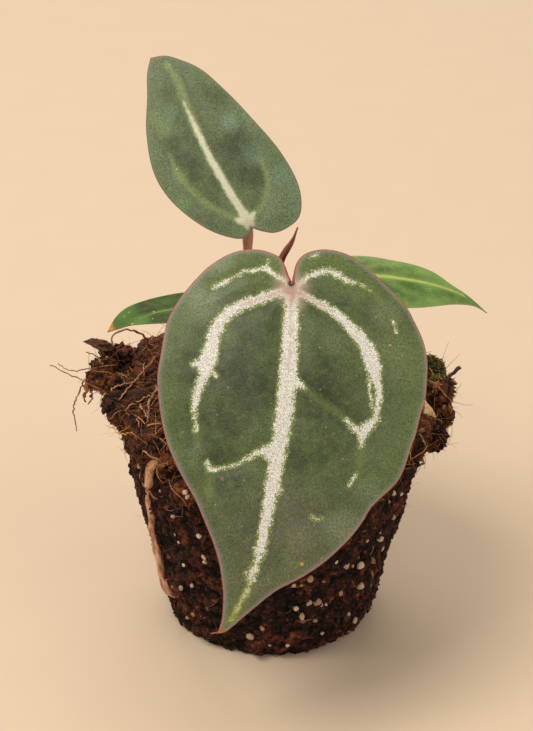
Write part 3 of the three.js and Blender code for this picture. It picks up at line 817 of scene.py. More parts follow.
# %% Flat drawings of the leaves
LEAVES = {
    "front": {
        "stalk": (2.0, -19, 76.1),
        "tip": (-9.0, -47, 24.8),
        "facing": (0, -0.88, 0.48),
        "length": 60.3,
        "half_width": 22,
        "notch": 0.6,
        "right": [
            (-0.2, -2.1), (-0.1, -4.4), (0.8, -6.1), (2.0, -7.0), (3.8, -7.8), (6.4, -8.1),
            (9.1, -7.7), (12.0, -6.5), (15.1, -4.6), (18.1, -2.7), (20.1, -1.1), (21.6, 1.1),
            (22.9, 3.9), (23.5, 6.9), (23.5, 10.0), (23.4, 13.3), (22.8, 16.1), (22.4, 19.0),
            (21.8, 21.8), (20.5, 27.7), (18.0, 31.4), (16.7, 33.3), (15.8, 35.6), (14.3, 38.6),
            (12.6, 41.2), (10.9, 43.6), (8.0, 47.0), (4.9, 50.2), (2.7, 54.9), (1.3, 58.6),
        ],
        "left": [
            (-0.6, -1.4), (-1.4, -2.5), (-2.1, -3.7), (-2.9, -4.6), (-4.0, -5.0), (-6.1, -5.3),
            (-8.7, -4.9), (-11.0, -3.8), (-13.2, -1.9), (-15.5, 0.9), (-18.0, 4.3), (-19.9, 7.6),
            (-20.9, 10.4), (-21.4, 15.7), (-21.5, 19.5), (-20.6, 23.9), (-18.9, 28.7),
            (-16.9, 32.2), (-14.5, 35.4), (-12.1, 38.2), (-10.1, 41.1), (-8.0, 44.1),
            (-6.0, 47.1), (-4.1, 50.3), (-2.9, 52.3), (-1.7, 54.6), (-0.6, 57.0), (-0.1, 58.9),
        ],
        "bow": [(0, 0), (2.4, 14), (3.7, 30), (3.9, 47), (0.1, 60.3)],
        "arch": 32,
        "droop": 3.0,
        "wave": 0.35,
        "wave_rate": 0.32,
        "keel": 0.7,
        "quilt": 0.42,
        "hook": 1.1,
        "rays": 170,
        "rings": 84,
        # Each vein is a line of (across, along, width)
        "veins": [
            [(0, -0.2, 1.7), (0, 3, 2.1), (0, 6, 2.5), (0, 15, 2.7), (0.1, 24, 2.6), (0, 32, 2.0),
             (0, 36, 1.8), (0, 40, 1.6), (0.1, 45, 1.3), (0.2, 48.4, 1.0), (0.5, 50.0, 0.6)],
            [(-0.9, 48.2, 0.3), (-0.2, 48.4, 0.8)],
            [(0.5, 50.6, 0.5), (0.6, 52.6, 0.4), (0.7, 54.6, 0.3), (0.8, 56.6, 0.2)],
            [(-0.6, 1.2, 1.2), (-2.5, 1.6, 1.2), (-5.3, 3.1, 1.3), (-8.4, 4.9, 1.5),
             (-10.8, 7.0, 1.7), (-12.4, 9.5, 1.8), (-13.0, 12.4, 2.0), (-13.5, 15.7, 2.5),
             (-13.9, 18.2, 1.3), (-14.5, 20.5, 1.2), (-14.6, 23.3, 0.8), (-13.8, 26.8, 0.3)],
            [(0.6, 0.6, 1.0), (1.9, 0.9, 1.0), (4.1, 1.6, 1.1), (7.3, 2.7, 1.4),
             (9.8, 4.3, 1.8), (12.1, 6.2, 2.3), (13.5, 8.3, 2.7), (14.3, 10.6, 2.4),
             (15.1, 12.9, 1.1), (15.4, 15.8, 0.9), (14.9, 19.0, 0.9), (13.4, 21.3, 1.4),
             (13.3, 23.9, 0.3)],
            [(13.6, 12.0, 0.5), (13.8, 14.5, 0.3), (14.6, 16.8, 0.3)],
            [(0.5, 15.4, 2.2), (1.9, 15.8, 0.9), (2.8, 16.2, 0.2)],
            [(10.5, 19.9, 0.5), (11.8, 20.8, 0.8), (13.1, 21.4, 1.0)],
            [(13.3, 28.4, 0.05), (12.9, 29.4, 0.22), (12.4, 30.6, 0.12)],
            [(-0.6, 27.9, 3.0), (-2.3, 27.7, 1.3), (-4.2, 29.2, 0.45), (-6.8, 31.2, 0.3),
             (-9.2, 32.4, 0.35), (-10.4, 32.6, 0.8), (-11.1, 31.8, 0.4)],
            [(-0.7, -0.2, 0.7), (-1.7, -0.9, 0.6), (-3.4, -1.6, 0.6), (-4.8, -2.3, 0.9),
             (-6.5, -1.5, 0.3), (-8.0, -1.1, 0.2), (-9.6, 0.1, 0.1), (-11.0, 1.1, 0.4),
             (-12.2, 1.9, 0.3), (-13.6, 3.1, 0.05)],
            [(-4.7, -2.3, 0.5), (-4.9, -3.6, 0.15)],
            [(0.5, -0.1, 0.7), (0.9, -0.5, 0.6), (2.1, -2.1, 0.6), (3.5, -3.3, 0.7),
             (5.2, -4.2, 0.8), (6.8, -4.0, 0.8), (8.5, -3.5, 0.6), (10.8, -3.4, 0.3),
             (12.8, -2.8, 0.05)],
            [(2.2, -6.0, 0.2), (2.9, -6.5, 0.3)],
            [(17.2, 1.4, 0.15), (17.9, 3.1, 0.25)],
            [(7.1, 36.7, 0.26), (7.8, 36.9, 0.1)],
            [(8.8, 36.6, 0.22), (9.2, 36.4, 0.1)],
            [(-15.6, 16.2, 0.7), (-14.0, 15.8, 1.2), (-11.9, 17.3, 0.5)],
            [(0.6, 33.4, 0.9), (1.6, 33.6, 0.4)],
        ],
        "traces": [
            [(0.5, 50, 0.9), (0.8, 54, 0.8), (0.8, 57.5, 0.2)],
            [(2.8, 16.2, 0.5), (5.6, 17.7, 0.5), (8.3, 18.8, 0.5), (10.5, 19.9, 0.5)],
            [(13.3, 23.9, 0.4), (13.6, 28.2, 0.4)],
            [(-13.8, 26.8, 0.5), (-13.2, 29.0, 0.2)],
            [(-10.4, 32.6, 0.9), (-10.0, 36.6, 0.5)],
            [(12.8, -2.8, 0.5), (15.0, -1.4, 0.3)],
            [(4.1, 43.8, 0.15), (5.4, 44.6, 0.15), (6.8, 44.8, 0.2)],
        ],
        "creases": [
            [(0, 0, 0.1), (0, 19, 0.1)],
            [(-0.5, 0.9, 0.1), (-2.5, 1.6, 0.1), (-5.3, 3.1, 0.1), (-8.4, 4.9, 0.05)],
            [(0.6, 0.6, 0.1), (1.9, 0.9, 0.1), (4.1, 1.6, 0.1), (7.3, 2.7, 0.05)],
        ],
    },
    "back": {
        "stalk": (-5.7, 5.0, 76.4),
        "tip": (-24.2, 24.0, 99.7),
        "facing": (0, -0.88, 0.48),
        "length": 35.5,
        "half_width": 10.5,
        "notch": 0.8,
        "right": [
            (0.8, -1.6), (2.4, -1.6), (5.2, 0.8), (7.5, 4.3), (9.7, 10.6), (10.1, 17.0),
            (8.2, 24.2), (5.8, 28.9), (3.2, 32.6),
        ],
        "left": [
            (-1.5, -2.4), (-3.1, -3.6), (-5.6, -4.0), (-8.4, -3.3), (-10.8, 0.6), (-11.4, 8.4),
            (-9.4, 17.7), (-6.2, 26.7), (-3.6, 32.0), (-2.2, 34.4),
        ],
        "bow": [(0, 0), (0, 14), (-0.8, 23), (-1.3, 30), (0.1, 35.5)],
        "arch": 16,
        "droop": 1.0,
        "wave": 0.25,
        "wave_rate": 0.4,
        "keel": 0.6,
        "quilt": 0.4,
        "hook": 0.0,
        "rays": 110,
        "rings": 56,
        "veins": [
            [(0, -0.2, 1.7), (0, 4, 1.4), (0, 12, 1.2), (0, 18, 1.0), (0, 22, 0.6), (0, 25, 0.1)],
            [(0, 0.4, 1.5), (0.9, 1.2, 1.2), (1.5, 1.8, 0.7)],
            [(0, 0.4, 1.5), (-1.0, 0.9, 1.1), (-1.7, 1.2, 0.6)],
        ],
        "traces": [
            [(0, 19, 1.3), (-0.2, 24, 1.1), (-0.4, 28, 1.0), (-1.0, 33, 0.6)],
            [(1.5, 2.0, 0.7), (3.6, 5.2, 0.7), (5.2, 9.0, 0.8), (6.2, 13.4, 0.5),
             (6.2, 18.0, 0.1)],
            [(-2.6, 1.2, 0.7), (-4.7, 2.5, 0.6), (-6.8, 5.2, 0.5), (-7.6, 9.4, 0.3)],
        ],
        "creases": [[(0, 0, 0.1), (0, 8, 0.1)]],
    },
    "right": {
        "stalk": (8.9, 2.0, 68.2),
        "tip": (37.5, 4.0, 60.8),
        "facing": (0, -0.5, 0.87),
        "length": 30.1,
        "half_width": 5.4,
        "notch": 0.4,
        "right": [
            (1.0, -1.8), (2.8, -2.0), (4.1, 1.5), (4.4, 6.5), (3.9, 11.2), (2.9, 18.5),
            (1.2, 22.5), (0.35, 27.0),
        ],
        "left": [
            (-1.0, -1.8), (-3.6, -2.2), (-6.0, 1.6), (-6.6, 7.5), (-5.7, 14.0), (-4.4, 18.6),
            (-2.0, 24.4), (-0.35, 28.0),
        ],
        "bow": [(0, 0), (0.9, 8), (1.6, 17), (1.5, 25), (0, 30.1)],
        "arch": 36,
        "droop": 0.5,
        "wave": 0.15,
        "wave_rate": 0.5,
        "keel": 0.5,
        "quilt": 0.16,
        "hook": 0.0,
        "rays": 90,
        "rings": 40,
        "veins": [[(0, -0.2, 0.8), (0, 8, 0.6), (0, 18, 0.4), (0, 25, 0.15)]],
        "traces": [
            [(0.4, 3, 0.2), (2.4, 8, 0.1), (3.2, 12, 0.1)],
            [(-0.4, 3, 0.2), (-3.2, 8, 0.1), (-4.4, 12.6, 0.1)],
            [(0.3, 9, 0.15), (1.8, 14.6, 0.1), (2.4, 18, 0.05)],
            [(-0.3, 9, 0.15), (-2.8, 15.2, 0.1), (-3.2, 19, 0.05)],
        ],
        "creases": [[(0, 0, 0.1), (0, 8, 0.1)]],
    },
    "left": {
        "stalk": (-7.5, -2.0, 63.6),
        "tip": (-29.2, -9.0, 61.4),
        "facing": (0, -0.25, 0.97),
        "length": 24.0,
        "half_width": 4.8,
        "notch": 0.4,
        "right": [
            (1.0, -1.6), (2.6, -1.8), (3.6, 1.6), (3.6, 6.5), (3.1, 12.0), (2.0, 16.5),
            (1.1, 20.0), (0.7, 21.8),
        ],
        "left": [
            (-1.0, -1.6), (-2.6, -1.8), (-3.2, 1.6), (-4.0, 6.5), (-4.1, 12.0), (-3.8, 17.0),
            (-3.0, 20.0), (-1.9, 22.0),
        ],
        "bow": [(0, 0), (0.6, 7), (0.8, 12), (0.4, 16), (-0.2, 20), (0, 24.0)],
        "arch": 46,
        "droop": -0.4,
        "wave": 0.15,
        "wave_rate": 0.5,
        "keel": 0.5,
        "quilt": 0.14,
        "hook": 0.0,
        "rays": 80,
        "rings": 34,
        "veins": [[(0, -0.2, 0.6), (-0.3, 7, 0.4), (-0.5, 14, 0.25), (0.2, 18, 0.05)]],
        "traces": [
            [(0.3, 3, 0.2), (2.0, 8, 0.1), (2.4, 12, 0.05)],
            [(-0.3, 3, 0.2), (-2.2, 8, 0.1), (-2.8, 13, 0.05)],
        ],
        "creases": [[(0, 0, 0.1), (0, 8, 0.1)]],
    },
}
print("leaves drawn:", ", ".join(LEAVES))

# %% [markdown]
# Three helpers read a drawing. One walks round the outline, one gives every point its distance
# from a set of lines with a width, and one bends a flat point into the leaf's real place.

# %% Reading a drawing
RING_CROWDING = 0.85
BLADE_THICKNESS = 0.6
RIM_SHARE = 0.3
KEEL_WIDTH = 1.1


def outline_of(leaf, samples):
    """The margin as a closed line: notch, right side, tip, left side, notch."""
    notch, tip = (0, -leaf["notch"]), (0, leaf["length"])
    right = smooth_route([notch, *leaf["right"], tip], samples)
    left = smooth_route([notch, *leaf["left"], tip], samples)
    return np.vstack([right[:-1], left[::-1]])


def distance_to(spots, lines, spacing=0.12):
    """For each flat spot, how far it is from the edge of the nearest line. Inside is below 0."""
    best = np.full(len(spots), 1e3)
    for line in lines:
        line = np.array(line, float)
        length = np.linalg.norm(np.diff(line[:, :2], axis=0), axis=1).sum()
        fine = smooth_route(line, max(2, int(length / spacing)))
        for part in np.array_split(np.arange(len(fine)), max(1, len(fine) // 60)):
            gap = np.linalg.norm(spots[:, None] - fine[None, part, :2], axis=2)
            best = np.minimum(best, (gap - fine[None, part, 2] / 2).min(axis=1))
    return best


def bent(leaf, across, along, height):
    """Where the flat leaf's points lie once the leaf hangs, from the blade's own axes, in mm."""
    bow = smooth_route(leaf["bow"], 60)
    bow_here = np.interp(along, bow[:, 1], bow[:, 0])
    arch = math.radians(leaf["arch"])
    bend = arch / leaf["length"]
    side = across / leaf["half_width"]
    slope = arch / 2 - bend * along
    swing = np.sin(along * leaf["wave_rate"] + np.where(across > 0, 0, 2))
    lift = height + leaf["wave"] * side**2 * swing - leaf["droop"] * side**2
    local = np.stack([
        across + bow_here,
        (np.sin(slope) - math.sin(arch / 2)) / bend + lift * np.sin(slope),
        (np.cos(slope) - math.cos(arch / 2)) / bend + lift * np.cos(slope),
    ], axis=1)
    stalk, tip = Vector(leaf["stalk"]), Vector(leaf["tip"])
    up = (stalk - tip).normalized()
    face = Vector(leaf["facing"]).normalized()
    face = (face - up * face.dot(up)).normalized()
    axes = np.array([up.cross(face), up, face])
    return local @ axes + np.array(stalk)


def step(values, start, end):
    """0 before start, 1 after end, and a smooth ramp between."""
    share = np.clip((values - start) / (end - start), 0, 1)
    return share * share * (3 - 2 * share)


def rough_at(spots, size, seed=0.0):
    """Soft noise at points given in mm, with bumps of that size, from about -1 to 1."""
    shift = Vector((seed * 7.3, seed * 3.1, -seed * 5.7))
    return np.array([noise.noise(Vector(spot) / size + shift) for spot in spots.tolist()])


# %% [markdown]
# Now a blade. The grid is laid out flat, welded at the stalk and along the notch, and given its
# distances. After it is bent, the Solidify modifier gives it a thickness that thins towards the
# margin, and the underside gets its own material. Last, the veins are drawn out below as keels.

# %% Make the four blades


def blade(side, leaf):
    outline = outline_of(leaf, leaf["rays"])
    share = (np.arange(leaf["rings"] + 1) / leaf["rings"]) ** RING_CROWDING
    flat = np.zeros((len(share), len(outline), 3))
    flat[..., :2] = outline[None] * share[:, None, None]
    piece = laid_grid(f"leaf_{side}", flat)
    keep_values(piece, "flat", flat.reshape(-1, 3))
    weld(piece)
    if sum(polygon.normal.z * polygon.area for polygon in piece.data.polygons) > 0:
        piece.data.flip_normals()

    flat = kept_values(piece, "flat").astype(float)[:, :2]
    across, along = flat[:, 0], flat[:, 1]
    margin = distance_to(flat, [np.column_stack([outline, np.zeros(len(outline))])])
    vein = distance_to(flat, leaf["veins"])
    trace = distance_to(flat, leaf["traces"])
    crease = distance_to(flat, leaf["creases"])
    from_stalk = np.hypot(across, along)
    lined = margin - 0.16 * np.exp(-((from_stalk / 5) ** 2))
    for name, values in (("vein", vein), ("trace", trace), ("crease", crease),
                         ("margin", lined), ("across", across), ("along", along)):
        keep_values(piece, name, values)

    # Quilting: the veins lie low, the skin between them swells, and the margin stays flat
    inside = step(margin, 0, 3.5)
    quilt = leaf["quilt"] * (step(np.minimum(vein, trace * 0.8 + 0.6), -0.3, 3.2) - 0.7)
    waves = rough_at(np.column_stack([flat, vein * 0]), 6.0, 3) * leaf["quilt"] * 0.45
    fine = rough_at(np.column_stack([flat, vein * 0]), 1.9, 5) * leaf["quilt"] * 0.10
    hooked = leaf["hook"] * step(along, leaf["length"] - 1.2, leaf["length"] + 0.2)
    placed = bent(leaf, across - hooked, along - 0.5 * hooked, inside * (quilt + waves + fine))
    put_points(piece, placed)

    piece.data.materials.clear()
    for material in (skins[side], under, rims["red" if side == "front" else "green"]):
        piece.data.materials.append(material)
    body = piece.vertex_groups.new(name="body")
    weight = np.clip(margin / 2.5, 0, 1)
    for index, value in enumerate(weight.tolist()):
        body.add([index], value, "REPLACE")
    apply(piece, "SOLIDIFY", thickness=BLADE_THICKNESS * MM, offset=0, vertex_group="body",
          thickness_vertex_group=RIM_SHARE, material_offset=1, material_offset_rim=2)
    piece.vertex_groups.clear()

    # Keels below: the midrib as in the CAD blade, the side veins lower
    below = np.zeros(len(piece.data.vertices), bool)
    for polygon in piece.data.polygons:
        if polygon.material_index == 1:
            below[list(polygon.vertices)] = True
    places = numbers_of(piece.data.vertices, "co")
    normals = numbers_of(piece.data.vertex_normals, "vector")
    across, along = kept_values(piece, "across"), kept_values(piece, "along")
    vein, margin = kept_values(piece, "vein"), kept_values(piece, "margin")
    taper = np.clip(1 - along / leaf["length"], 0, 1)
    keel = leaf["keel"] * taper * np.exp(-((across / KEEL_WIDTH) ** 2))
    ridges = 0.16 * np.exp(-((np.clip(vein + 0.5, 0, None) / 0.5) ** 2)) * taper
    out = np.where(below, np.maximum(keel, ridges), 0) * step(margin, 0.1, 1.2)
    put_points(piece, places / MM + normals * out[:, None])
    bpy.ops.object.shade_smooth_by_angle(angle=math.radians(50))
    return piece


VELVETY = ("front", "back")
for side, leaf in LEAVES.items():
    slot = "velvet_leaf" if side in VELVETY else "young_leaf"
    settle(blade(side, leaf), None, slot, f"blade_{side}")

# %% [markdown]
# ## Stalks and the rolled leaf
#
# A leaf stalk of this plant is a smooth round rod, red-brown, with fine streaks along it and
# darker dots. It is thick where it clasps the stem and swells again into a joint below the
# blade, where the leaf can turn to the light. Each is one tube along the CAD stalk's route.
# The streaks come from noise that is stretched along the tube, read from a value on its points.

# %% Stalk skin
stalk_skin = uneven_skin(
    "stalk_skin", size=1, detail=4,
    stops=[(0.32, "9d6552"), (0.68, "cf9f88")],
    sockets={"Roughness": 0.42, "Subsurface Weight": 0.15, "Subsurface Scale": 0.5 * MM},
    stretch=(3, 3, 0.25), limb=True, bump=(0.3, 0.1),
)
tree, shader = stalk_skin.node_tree, stalk_skin.node_tree.nodes["Principled BSDF"]
streaks = shader.inputs["Base Color"].links[0].from_socket
place = add(tree, "TexCoord", out="Object")
dots = add(tree, "TexVoronoi", {"Vector": place, "Scale": per_metre(0.9)})
dark = add(tree, "MapRange", {"Value": dots, "From Min": 0.22, "From Max": 0.1, "To Max": 0.55})
colour = add(tree, "Mix", {0: dark, 6: streaks, 7: "7c4638"}, out=2, data_type="RGBA")
plug(tree, shader, {"Base Color": colour})

# %% Make the stalks
STALKS = {
    "front": ([(-0.3, -0.2, 51), (0.4, -4.5, 58), (1.4, -12, 68.5), (1.9, -17, 73.6),
               (2, -18.6, 75.5)], 1.0),
    "back": ([(-1.2, 3.2, 51), (-3.6, 5.0, 59), (-5.6, 5.6, 69), (-5.9, 5.6, 75.7)], 0.8),
    "right": ([(1.2, 2.2, 51), (4.2, 2.6, 58), (7.2, 2.4, 64.5), (8.85, 2.1, 67.7)], 0.75),
    "left": ([(-2.2, 1.2, 51), (-4.6, 0.2, 56), (-6.6, -1.2, 60.6), (-7.45, -1.95, 63.1)], 0.75),
}


def swelling(share, centre, width):
    return np.exp(-(((share - centre) / width) ** 2))


for side, (route, radius) in STALKS.items():
    def stalk_radius(share, turn, radius=radius):
        joint = 1 + 0.45 * swelling(share, 0, 0.12) + 0.25 * swelling(share, 0.93, 0.08)
        ridges = 1 + 0.025 * np.cos(turn * 5) * (1 - swelling(share, 0.93, 0.1))
        wrinkles = 0.02 * np.sin(share * 260) * swelling(share, 0.93, 0.07)
        groove = -0.10 * swelling(turn, math.pi, 0.5) * (1 - share)
        return radius * (joint * ridges + wrinkles + groove)
    piece = tube(f"stalk_{side}", route, stalk_radius, sides=24, steps=90)
    settle(piece, stalk_skin, "petiole", f"petiole_{side}")

# %% [markdown]
# The next leaf is still rolled up, like a tiny umbrella. Its outer edge makes a low spiral step
# round the roll, and it ends in a fine bent point. The tube's radius rises slowly round the
# turn and drops at the edge of the roll, and that step winds once along the length.

# %% Rolled leaf
rolled_skin = uneven_skin(
    "rolled_leaf_skin", size=1, detail=4,
    stops=[(0.35, "4a1f1b"), (0.7, "9a5342")],
    sockets={"Roughness": 0.3, "Sheen Weight": 0.3, "Sheen Tint": "b9b4c4"},
    stretch=(3, 3, 0.3), limb=True,
)
tree, shader = rolled_skin.node_tree, rolled_skin.node_tree.nodes["Principled BSDF"]
streaks = shader.inputs["Base Color"].links[0].from_socket
grain = add(tree, "Attribute", out="Vector", attribute_name="grain")
height = add(tree, "SeparateXYZ", {0: grain}, out=2)
far = add(tree, "MapRange", {"Value": height, "From Min": 29, "From Max": 33, "To Max": 0.8})
colour = add(tree, "Mix", {0: far, 6: streaks, 7: "5d4550"}, out=2, data_type="RGBA")
plug(tree, shader, {"Base Color": colour})

ROLLED = [
    (0.4, 1.6, 55.2), (-1.2, -1.0, 61), (-1.0, -6.0, 70), (0.3, -9.6, 77), (1.9, -10.4, 80.6),
    (2.7, -10.6, 83.2),
]


def rolled_radius(share, turn):
    point = 1 - 0.3 * step(share, 0.6, 0.84) - 0.5 * step(share, 0.84, 1)
    spiral = ((turn / (2 * math.pi) + share * 1.2) % 1.0)
    roll = 1 + 0.16 * spiral - 0.10 * swelling(spiral, 1.0, 0.06)
    return 0.85 * point * (0.75 + 0.25 * np.sin(math.pi * share)) * roll


piece = tube("rolled_leaf", ROLLED, rolled_radius, sides=36, steps=110)
settle(piece, rolled_skin, "new_leaf", "new_leaf")

# %% [markdown]
# ## Stem and bracts
#
# The short stem is knobbly, with a ring at each old leaf and a corky, olive-brown skin. Papery
# bracts once wrapped each new leaf. They have dried to thin brown shells that still clasp the
# stem: a small grid bent round it, with a torn upper edge, and then given a thickness.

# %% Stem and bract materials
cork = uneven_skin(
    "corky_stem", size=1.8, detail=6,
    stops=[(0.35, "5b4a2c"), (0.65, "8d7f52")],
    sockets={"Roughness": 0.75},
    bump=(0.6, 0.3),
)
paper_bract = uneven_skin(
    "dried_bract", size=0.5, detail=3,
    stops=[(0.35, "5e3f26"), (0.65, "b48a5c")],
    sockets={"Roughness": 0.7},
    stretch=(1, 1, 0.12), bump=(0.6, 0.15),
)

# %% Make the stem and the bracts
STEM = [(-0.5, 1.5, 33), (-0.2, 1.2, 43), (-0.5, 1.5, 54)]


def stem_radius(share, turn):
    rings = 0.25 * np.clip(np.cos(share * math.pi * 10), 0, None)
    knobs = 0.12 * np.sin(turn * 3 + share * 9) + 0.08 * np.sin(turn * 7 - share * 23)
    return 2.4 * (1 - 0.12 * share) + rings + knobs


piece = tube("stem_knobbly", STEM, stem_radius, sides=40, steps=90)
settle(piece, cork, "stem", "stem")

STEM_CENTRE = (-0.5, 1.5)
BRACT_FOOT = 44
BRACT_THICKNESS = 0.35
BRACTS = {"left": (225, 13), "right": (45, 11)}
for side, (degrees, tall) in BRACTS.items():
    up = np.linspace(0, 1, 31)[:, None]
    over = np.linspace(-1, 1, 25)[None, :]
    torn = 1 - 0.05 * np.abs(np.sin(over * 9 + degrees)) * up
    spread = np.radians(22 * np.sqrt(1.02 - up**2))
    angle = math.radians(degrees) + spread * over
    ribs = 0.05 * np.cos(over * 16)
    radius = 4.6 + 1.6 * up**2 + ribs + 0.2 * up * np.sin(over * 4)
    places = np.stack(np.broadcast_arrays(
        STEM_CENTRE[0] + radius * np.cos(angle), STEM_CENTRE[1] + radius * np.sin(angle),
        BRACT_FOOT + tall * up * torn), axis=-1)
    piece = laid_grid(f"bract_{side}_papery", places)
    apply(piece, "SOLIDIFY", thickness=BRACT_THICKNESS * MM, offset=0)
    bpy.ops.object.shade_smooth_by_angle(angle=math.radians(60))
    settle(piece, paper_bract, "bract", f"cataphyll_{side}")

# %% [markdown]
# ## Root ball
#
# The soil is coir dust, broken bark and peat, held together by roots. A copy of the CAD solid
# gives the form. Voxel remesh turns it into even small faces, which a Displace modifier can
# push in and out: large clods first, then crumbs. The copy is merged first, because a CAD mesh
# comes as loose triangles. The thin fibres have to go, because they are made again on their
# own: the surface is drawn in by a fibre's radius, remeshed, which drops what has no thickness
# left, and pushed out again. What then floats free is deleted.

# %% Soil body
VOXEL = 0.42
FIBRE_RADIUS = 0.45


def copy_of(node, name):
    """A merged copy of a CAD node, as a new piece of its own."""
    piece = linked(name, frame["nodes"][node].data.copy())
    weld(piece, distance=1e-6)
    return piece


def roughened(piece, name, kind, size, strength):
    """Pushes a piece's points in and out by a pattern of a size and strength in mm."""
    texture = bpy.data.textures.new(name, kind)
    texture.noise_scale = size * MM
    apply(piece, "DISPLACE", texture=texture, texture_coords="LOCAL", strength=strength * MM,
          mid_level=0.5)


soil = copy_of("root_ball", "soil_body")
for inwards in (-FIBRE_RADIUS, FIBRE_RADIUS):
    apply(soil, "REMESH", mode="VOXEL", voxel_size=VOXEL * MM)
    apply(soil, "DISPLACE", strength=inwards * MM, mid_level=0)
select_only(soil)
bpy.ops.object.mode_set(mode="EDIT")
bpy.ops.mesh.separate(type="LOOSE")
bpy.ops.object.mode_set(mode="OBJECT")
parts = sorted(bpy.context.selected_objects, key=lambda part: len(part.data.vertices))
soil = parts.pop()
for part in parts:
    bpy.data.objects.remove(part)
soil.name = "soil_body"

# Soil has fallen out under the overhangs: place, reach and pull, in mm
HOLLOWS = [
    ((-35.5, 0.0, 41.0), 5.0, (5.2, 0.0, 0.8)), ((-29.0, 3.0, 41.5), 4.0, (1.6, 0.0, 0.6)),
    ((-33.0, -5.2, 45.2), 2.4, (3.6, 0.6, 0.3)), ((34.0, -2.5, 47.8), 2.2, (-2.4, 0.0, 0.0)),
]
places = numbers_of(soil.data.vertices, "co") / MM
for spot, reach, pull in HOLLOWS:
    near = np.exp(-((np.linalg.norm(places - spot, axis=1) / reach) ** 2))
    places += near[:, None] * np.array(pull)
put_points(soil, places)
smooth_normals = numbers_of(soil.data.vertex_normals, "vector")

# Name, pattern, size and strength in mm
LUMPS = [
    ("clods", "CLOUDS", 3.2, 1.3), ("crumbs", "VORONOI", 1.1, -0.9), ("grit", "CLOUDS", 0.5, 0.8),
]
for lumps in LUMPS:
    roughened(soil, *lumps)
lumpy = numbers_of(soil.data.vertices, "co")
relief_of_soil = ((lumpy / MM - places) * smooth_normals).sum(axis=1)
keep_values(soil, "relief", relief_of_soil)
lumpy[:, 2] = np.maximum(lumpy[:, 2], 0)
soil.data.vertices.foreach_set("co", lumpy.ravel())
soil.data.update()
print("soil relief mm:", np.percentile(relief_of_soil, (5, 50, 95)).round(2))
bpy.ops.object.shade_smooth()
print("soil body:", len(soil.data.polygons), "faces")

# %% [markdown]
# Soil is red-brown on its crumbs, and its hollows are made nearly black with painted shade. Each
# point keeps how far the lumps have pushed it out: the material paints shade into those that were
# pushed in and light onto those pushed out most. The rest of the colour comes from two sizes of
# noise. A bump at the size of coir dust gives the surface its matt, felted look. Up at the collar
# it is more tan, partly from dry coir and partly as painted light on the top, and lower down
# there are damp patches. The crumbs on it get the same tan top and damp patches, so one function
# does it.

# %% Soil material
HOLLOW_AT = np.percentile(relief_of_soil, (25, 92)).tolist()
DRY_AND_LIT_FROM, DRY_AND_LIT_AT = 36 * MM, 44 * MM
DAMP_PATCH = 5.5


def dry_lit_top_and_damp(tree, place, colour, dry_and_lit_tint, dryness_and_light, darkest):
    """Soil colours: tan towards the top, partly dried coir and partly painted light, and dark in
    the damp patches.
    """
    height = add(tree, "SeparateXYZ", {0: place}, out=2)
    dried_and_lit = add(tree, "MapRange", {
        "Value": height, "From Min": DRY_AND_LIT_FROM, "From Max": DRY_AND_LIT_AT, "To Max": 1,
    })
    dried_and_lit = add(tree, "Math", {0: dried_and_lit, 1: dryness_and_light}, operation="MULTIPLY")
    colour = add(tree, "Mix", {0: dried_and_lit, 6: colour, 7: dry_and_lit_tint}, out=2, data_type="RGBA")
    damp = add(tree, "TexNoise", {"Vector": place, "Scale": per_metre(DAMP_PATCH), "Detail": 2})
    damp = add(tree, "MapRange", {
        "Value": damp, "From Min": 0.4, "From Max": 0.58, "To Min": darkest, "To Max": 1.5,
    })
    return add(tree, "Mix", {
        0: 1.0, 6: colour, 7: damp,
    }, out=2, data_type="RGBA", blend_type="MULTIPLY")


earth, tree, shader = new_material("coir_and_peat")
place = add(tree, "TexCoord", out="Object")
coarse = add(tree, "TexNoise", {
    "Vector": place, "Scale": per_metre(2.6), "Detail": 8, "Roughness": 0.72,
})
colour = add(tree, "ValToRGB", {"Fac": coarse},
             stops=[(0.33, "0e0705"), (0.54, "2f150c"), (0.74, "6b3921")])
dust = add(tree, "TexNoise", {"Vector": place, "Scale": per_metre(0.5), "Detail": 3})
fleck = add(tree, "MapRange", {"Value": dust, "From Min": 0.6, "From Max": 0.72, "To Max": 0.5})
colour = add(tree, "Mix", {0: fleck, 6: colour, 7: "884628"}, out=2, data_type="RGBA")
# More tan towards the top: partly dry coir and partly painted light from above
dryness_and_light = add(tree, "Math", {0: coarse, 1: 0.2}, operation="MULTIPLY")
colour = dry_lit_top_and_damp(tree, place, colour, "a0622f", dryness_and_light, 0.38)
# Painted shade in the hollows and painted light on the crests, by how far the lumps pushed each
# point out
hollow = add(tree, "Attribute", out="Fac", attribute_name="relief")
hollow = add(tree, "MapRange", {
    "Value": hollow, "From Min": HOLLOW_AT[0], "From Max": HOLLOW_AT[1],
    "To Min": 0.12, "To Max": 1.9,
})
colour = add(tree, "Mix", {
    0: 1.0, 6: colour, 7: hollow,
}, out=2, data_type="RGBA", blend_type="MULTIPLY")
both = add(tree, "Math", {0: coarse, 1: dust}, operation="ADD")
relief = add(tree, "Bump", {"Height": both, "Strength": 0.9, "Distance": 0.4 * MM})
plug(tree, shader, {
    "Base Color": colour, "Normal": relief, "Roughness": 0.92, "Specular IOR Level": 0.25,
})
settle(soil, earth, "soil", "root_ball")

# %% [markdown]
# ## Crumbs, fibres and perlite
#
# A few crumbs and fibres are modelled once, and copied by the thousand onto the soil. Each copy
# is placed on a face of the soil body, turned along it, and sunk a little, so that nothing
# floats. All copies of a kind are one mesh with its own points. Each copy keeps one random
# number, and the material turns it into a shade, so that no two neighbours look the same.

